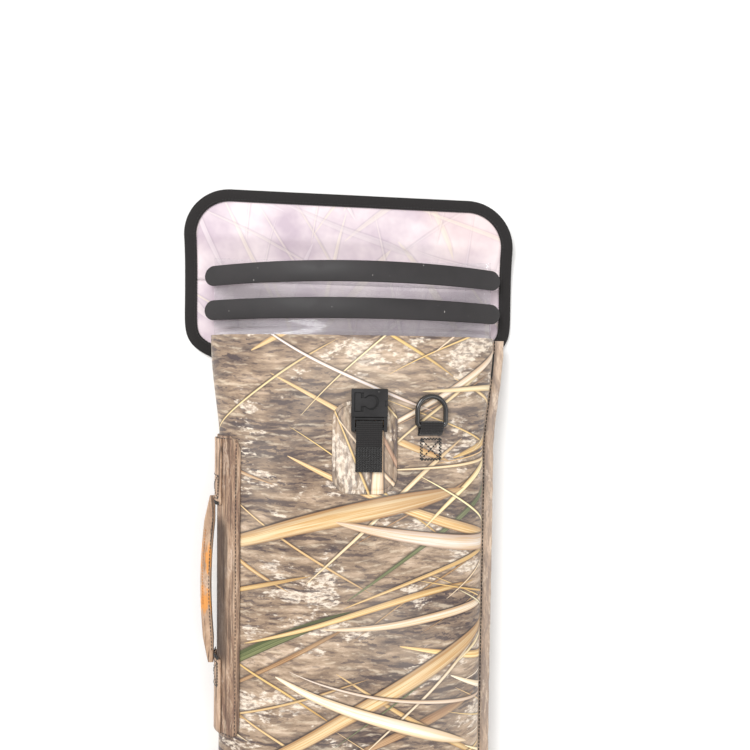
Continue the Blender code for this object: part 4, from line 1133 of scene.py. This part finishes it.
def make_tab(name, place):
    """Webbing round the ring's bar and down through a slit, with a box of stitches below it."""
    radius = 2.1 * MM + WEBBING / 2
    arc = [(radius * cos(a), radius * sin(a)) for a in [-pi * 0.50 + pi * 1.18 * k / 24 for k in range(25)]]
    upper = arc + [(-4.6 * MM, 0.9 * MM), (-6.4 * MM, -1.0 * MM), (-7.3 * MM, -2.8 * MM), (-7.6 * MM, -4.0 * MM)]
    points = [place @ Vector((0, y, z)) for y, z in upper]
    across = (place.to_3x3() @ Vector((1, 0, 0))).normalized()
    ribbon = strap_ribbon(f"tab_over_{name}", points, 0.0176, WEBBING * 0.9, "webbing", "case", across)
    lower = [(0.3 * MM, -2.75 * MM), (-3 * MM, -2.6 * MM), (-6.0 * MM, -2.7 * MM), (-7.9 * MM, -3.6 * MM)]
    points = [place @ Vector((-1.0 * MM, y, z)) for y, z in lower]
    under = strap_ribbon(f"tab_under_{name}", points, 0.0176, WEBBING * 0.7, "webbing", "case", across)
    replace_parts(ribbon, f"ring_tab_{name}")

    up = (place.to_3x3() @ Vector((0, 0, 1))).normalized()
    half_x, top, bottom = 8.0 * MM, -10.2 * MM, -26.5 * MM

    def shell_point(x, y):
        point = place @ Vector((x, y, 0))
        return Vector((point.x, point.y, front_height(point.x - MOUTH_X, point.y - MOUTH_Y) + 0.18 * MM))

    corners = [(-half_x, top), (half_x, top), (half_x, bottom), (-half_x, bottom), (-half_x, top)]
    segments = []
    runs = [corners, [(-half_x, top), (half_x, bottom)], [(half_x, top), (-half_x, bottom)]]
    inner = [(x * 0.86, (y - (top + bottom) / 2) * 0.9 + (top + bottom) / 2) for x, y in corners]
    runs.append(inner)
    for run in runs:
        line = []
        for (x0, y0), (x1, y1) in zip(run, run[1:]):
            for k in range(8):
                line.append(shell_point(x0 + (x1 - x0) * k / 8, y0 + (y1 - y0) * k / 8))
        line.append(shell_point(*run[-1]))
        segments += dashes(line, 2.3 * MM, 0.78, up)
    capsules(f"tab_stitches_{name}", segments, 0.55 * MM, "thread", "case")


# Carry handle


def side_point(v, share, stand_off):
    """A place on the left side. A share of -1 is the edge of the flat bottom, 0 the seam and 1 the crown's middle."""
    if share < 0:
        half_width, seam, _, lowest = section_sizes(v)
        angle = pi / 2 * (1 + share)
        x = -(half_width - BOTTOM_CORNER + (BOTTOM_CORNER + stand_off) * sin(angle))
        return case(x, v, seam - (seam - lowest + stand_off) * cos(angle))
    half_width, seam, rise, _ = section_sizes(v)
    angle = pi / 2 * share
    x = -(half_width + stand_off) * cos(angle) ** between(CROWN_POWER_X, v)
    return case(x, v, seam + (rise + stand_off) * sin(angle) ** between(CROWN_POWER_Z, v))


def side_sheet(name, v_start, v_end, low, high, stand_off, thickness, material, corner=0.0, bulge=0.0):
    """A sheet that wraps the left side, with its far corners rounded and its middle raised by bulge."""
    rows, uvs = [], []
    stations = steps_between(v_end, v_start, 0.003)
    for v in stations:
        ends = min(v - v_end, v_start - v)
        cut = 0.0
        if corner and ends < corner:
            cut = (1 - sqrt(max(0.0, 1 - (1 - ends / corner) ** 2))) * 0.10
        row = []
        for k in range(29):
            share = low + (high - cut - low) * k / 28
            row.append(side_point(v, share, stand_off + thickness + bulge * sin(pi * k / 28)))
        lengths = [0.0]
        for a, b in zip(row, row[1:]):
            lengths.append(lengths[-1] + (b - a).length)
        uvs += [(v, length) for length in lengths]
        rows.append(row)
    return finished(sheet_between(name, rows, thickness, uvs), material, "case")


def side_run(v_start, v_end, share_start, share_end, lift, step=0.002):
    count = max(2, round(abs(v_end - v_start) / step) + 1)
    points = []
    for i in range(count):
        t = i / (count - 1)
        points.append(side_point(v_start + (v_end - v_start) * t, share_start + (share_end - share_start) * t, lift))
    return points


def make_handle():
    wrap = side_sheet("wrap_cloth", -0.0782, -0.3088, -0.45, 0.46, 0.8 * MM, 1.0 * MM, "wrap", corner=0.012)
    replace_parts(wrap, "handle_wrap_patch")
    across = [side_point(-0.19, share, 0.8 * MM) for share in steps_between(-0.45, 0.46, 0.02)]
    width = arc_lengths([(point.x, point.z) for point in across])[-1]
    rim = side_run(-0.0810, -0.3060, 0.425, 0.425, 2.0 * MM)
    out = Vector((-0.5, 0, 0.85)).normalized()
    segments = dashes(rim, 3.0 * MM, 0.72, out)
    for v in (-0.0802, -0.3068):
        edge = [side_point(v, share, 2.0 * MM) for share in steps_between(-0.05, 0.39, 0.02)]
        segments += dashes(edge, 3.0 * MM, 0.72, out)
    capsules("wrap_stitches", segments, 0.28 * MM, "thread", "case")

    anchors = {"upper": (-0.0805, -0.1313, -0.109, -0.127), "lower": (-0.2507, -0.3065, -0.2535, -0.2720)}
    for name, (start, end, box_start, box_end) in anchors.items():
        webbing = side_sheet(f"webbing_{name}", start, end, -0.10, 0.26, 2.4 * MM, WEBBING, "grip", bulge=0.25 * MM)
        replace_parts(webbing, f"handle_webbing_{name}")
        side = Vector((-0.8, 0, 0.6)).normalized()
        lift = 3.95 * MM
        segments = []
        for a, b, c, d in ((box_start, box_end, -0.07, -0.07), (box_start, box_end, 0.22, 0.22),
                           (box_start, box_start, -0.07, 0.22), (box_end, box_end, -0.07, 0.22),
                           (box_start, box_end, -0.07, 0.22), (box_start, box_end, 0.22, -0.07)):
            line = [side_point(a + (b - a) * k / 10, c + (d - c) * k / 10, lift) for k in range(11)]
            segments += dashes(line, 2.2 * MM, 0.78, side)
        bartack = box_end - 5 * MM if name == "upper" else box_start + 2 * MM
        for k in range(16):
            share = -0.06 + 0.29 * k / 15
            a, b = side_point(bartack, share, lift), side_point(bartack + 3.2 * MM, share + 0.012, lift)
            segments.append((a, b, side))
        capsules(f"webbing_stitches_{name}", segments, 0.34 * MM, "thread", "case")
    make_grip()


def make_grip():
    """The free grip: webbing folded round a soft core and bowed out, with a printed stripe and stitches."""
    axis_x, axis_z = -0.1090, 0.031
    middle, half_length, bow = -0.191, 0.0650, 4.45 * MM
    rings, uvs = [], []
    edge_line, print_line = [], []
    steps = 90
    for i in range(steps + 1):
        share = i / steps
        fullness = min(1.0, sin(pi * share) * 2.2) if 0 < share < 1 else 0.0
        width = (4.2 + (8.5 - 4.2) * fullness) * MM
        thick = (3.6 + (4.9 - 3.6) * fullness) * MM
        x = axis_x - (bow * sin(pi * share) if 0 < share < 1 else 0.0)
        v = middle + half_length * (1 - 2 * share)
        ring = []
        for k in range(20):
            angle = 2 * pi * k / 20
            across = abs(cos(angle)) ** 0.55 * (1 if cos(angle) > 0 else -1)
            up = abs(sin(angle)) ** 0.7 * (1 if sin(angle) > 0 else -1)
            groove = 0.25 * MM if k in (4, 6) else 0.0
            ring.append(case(x + width / 2 * across, v, axis_z + (thick / 2 - groove) * up))
            uvs.append((v, k / 20 * 2 * (width + thick)))
        rings.append(ring)
        edge_line.append(case(x + width * 0.30, v, axis_z + thick / 2 + 0.05 * MM))
        print_line.append(case(x - width * 0.26, v, axis_z + thick / 2 + 0.05 * MM))
    grip = tube_of_rings("grip_cloth", rings, uvs, 60)
    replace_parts(finished(grip, "grip", "carry_handle"), "handle_grip")
    capsules("grip_stitches", dashes(edge_line[6:-6], 2.8 * MM, 0.7), 0.26 * MM, "thread", "carry_handle")
    capsules("grip_amber_stitches", dashes(print_line[18:60], 2.2 * MM, 0.72), 0.30 * MM, "amber", "carry_handle")


# Carried-over CAD pieces, stage and camera


def dress_nodes():
    dressing = {
        "plastic": ("front_buckle_half", "release_slider", "flap_buckle_half"),
        "webbing": ("flap_strap", "flap_strap_sewn_end"),
        "foam": ("front_foam", "back_foam"),
        "lining": ("front_lining", "back_lining"),
        "magnet": ("front_buckle_magnet", "flap_buckle_magnet"),
    }
    for material, names in dressing.items():
        for name in names:
            node = frame["nodes"][name]
            for slot in node.material_slots:
                slot.link = "OBJECT"
                slot.material = MATERIALS[material]


def make_stage():
    floor = mesh_piece("floor", [(-3, -3, 0), (3, -3, 0), (3, 3, 0), (-3, 3, 0)], [(0, 1, 2, 3)])
    floor.location.z = -0.2 * MM
    material, g, shader = new_material("pale_floor", Roughness=0.9)
    mottle = g.noise(object_place(g), 5.0, 4.0, 0.55)
    tone = g.mix(g.smooth(mottle, 0.3, 0.7), colour(246, 245, 244), colour(250, 250, 249))
    surface(g, shader, Base_Color=tone)
    floor.data.materials.append(material)

    world = bpy.data.worlds.new("studio")
    bpy.context.scene.world = world
    world.use_nodes = True
    world.node_tree.nodes["Background"].inputs["Color"].default_value = (1.0, 0.995, 0.985, 1)
    world.node_tree.nodes["Background"].inputs["Strength"].default_value = 0.66
    for name, place, size, power in (("key", (-0.9, 1.5, 1.9), 1.2, 40.0), ("fill", (1.3, -0.2, 1.8), 1.6, 14.0)):
        lamp = bpy.data.lights.new(name, "AREA")
        lamp.size = size
        lamp.energy = power
        light = bpy.data.objects.new(name, lamp)
        light.location = place
        target = Vector((0, 0.45, 0))
        light.rotation_euler = (target - Vector(place)).to_track_quat("-Z", "Y").to_euler()
        bpy.context.scene.collection.objects.link(light)

    data = bpy.data.cameras.new("camera")
    data.sensor_width = 36
    data.lens = 33.0
    data.clip_start = 0.01
    camera = bpy.data.objects.new("camera", data)
    camera.location = (-0.0036, MOUTH_Y - 0.0308, 0.5752)
    camera.rotation_euler = (0.00075, -0.0448, 0.0113)
    bpy.context.scene.collection.objects.link(camera)
    bpy.context.scene.camera = camera
    bpy.context.scene.view_settings.view_transform = "Standard"


make_stage()
make_body()
make_seam()
make_collar()
make_flap()
make_patch()
make_strap()
make_rings()
make_handle()
dress_nodes()
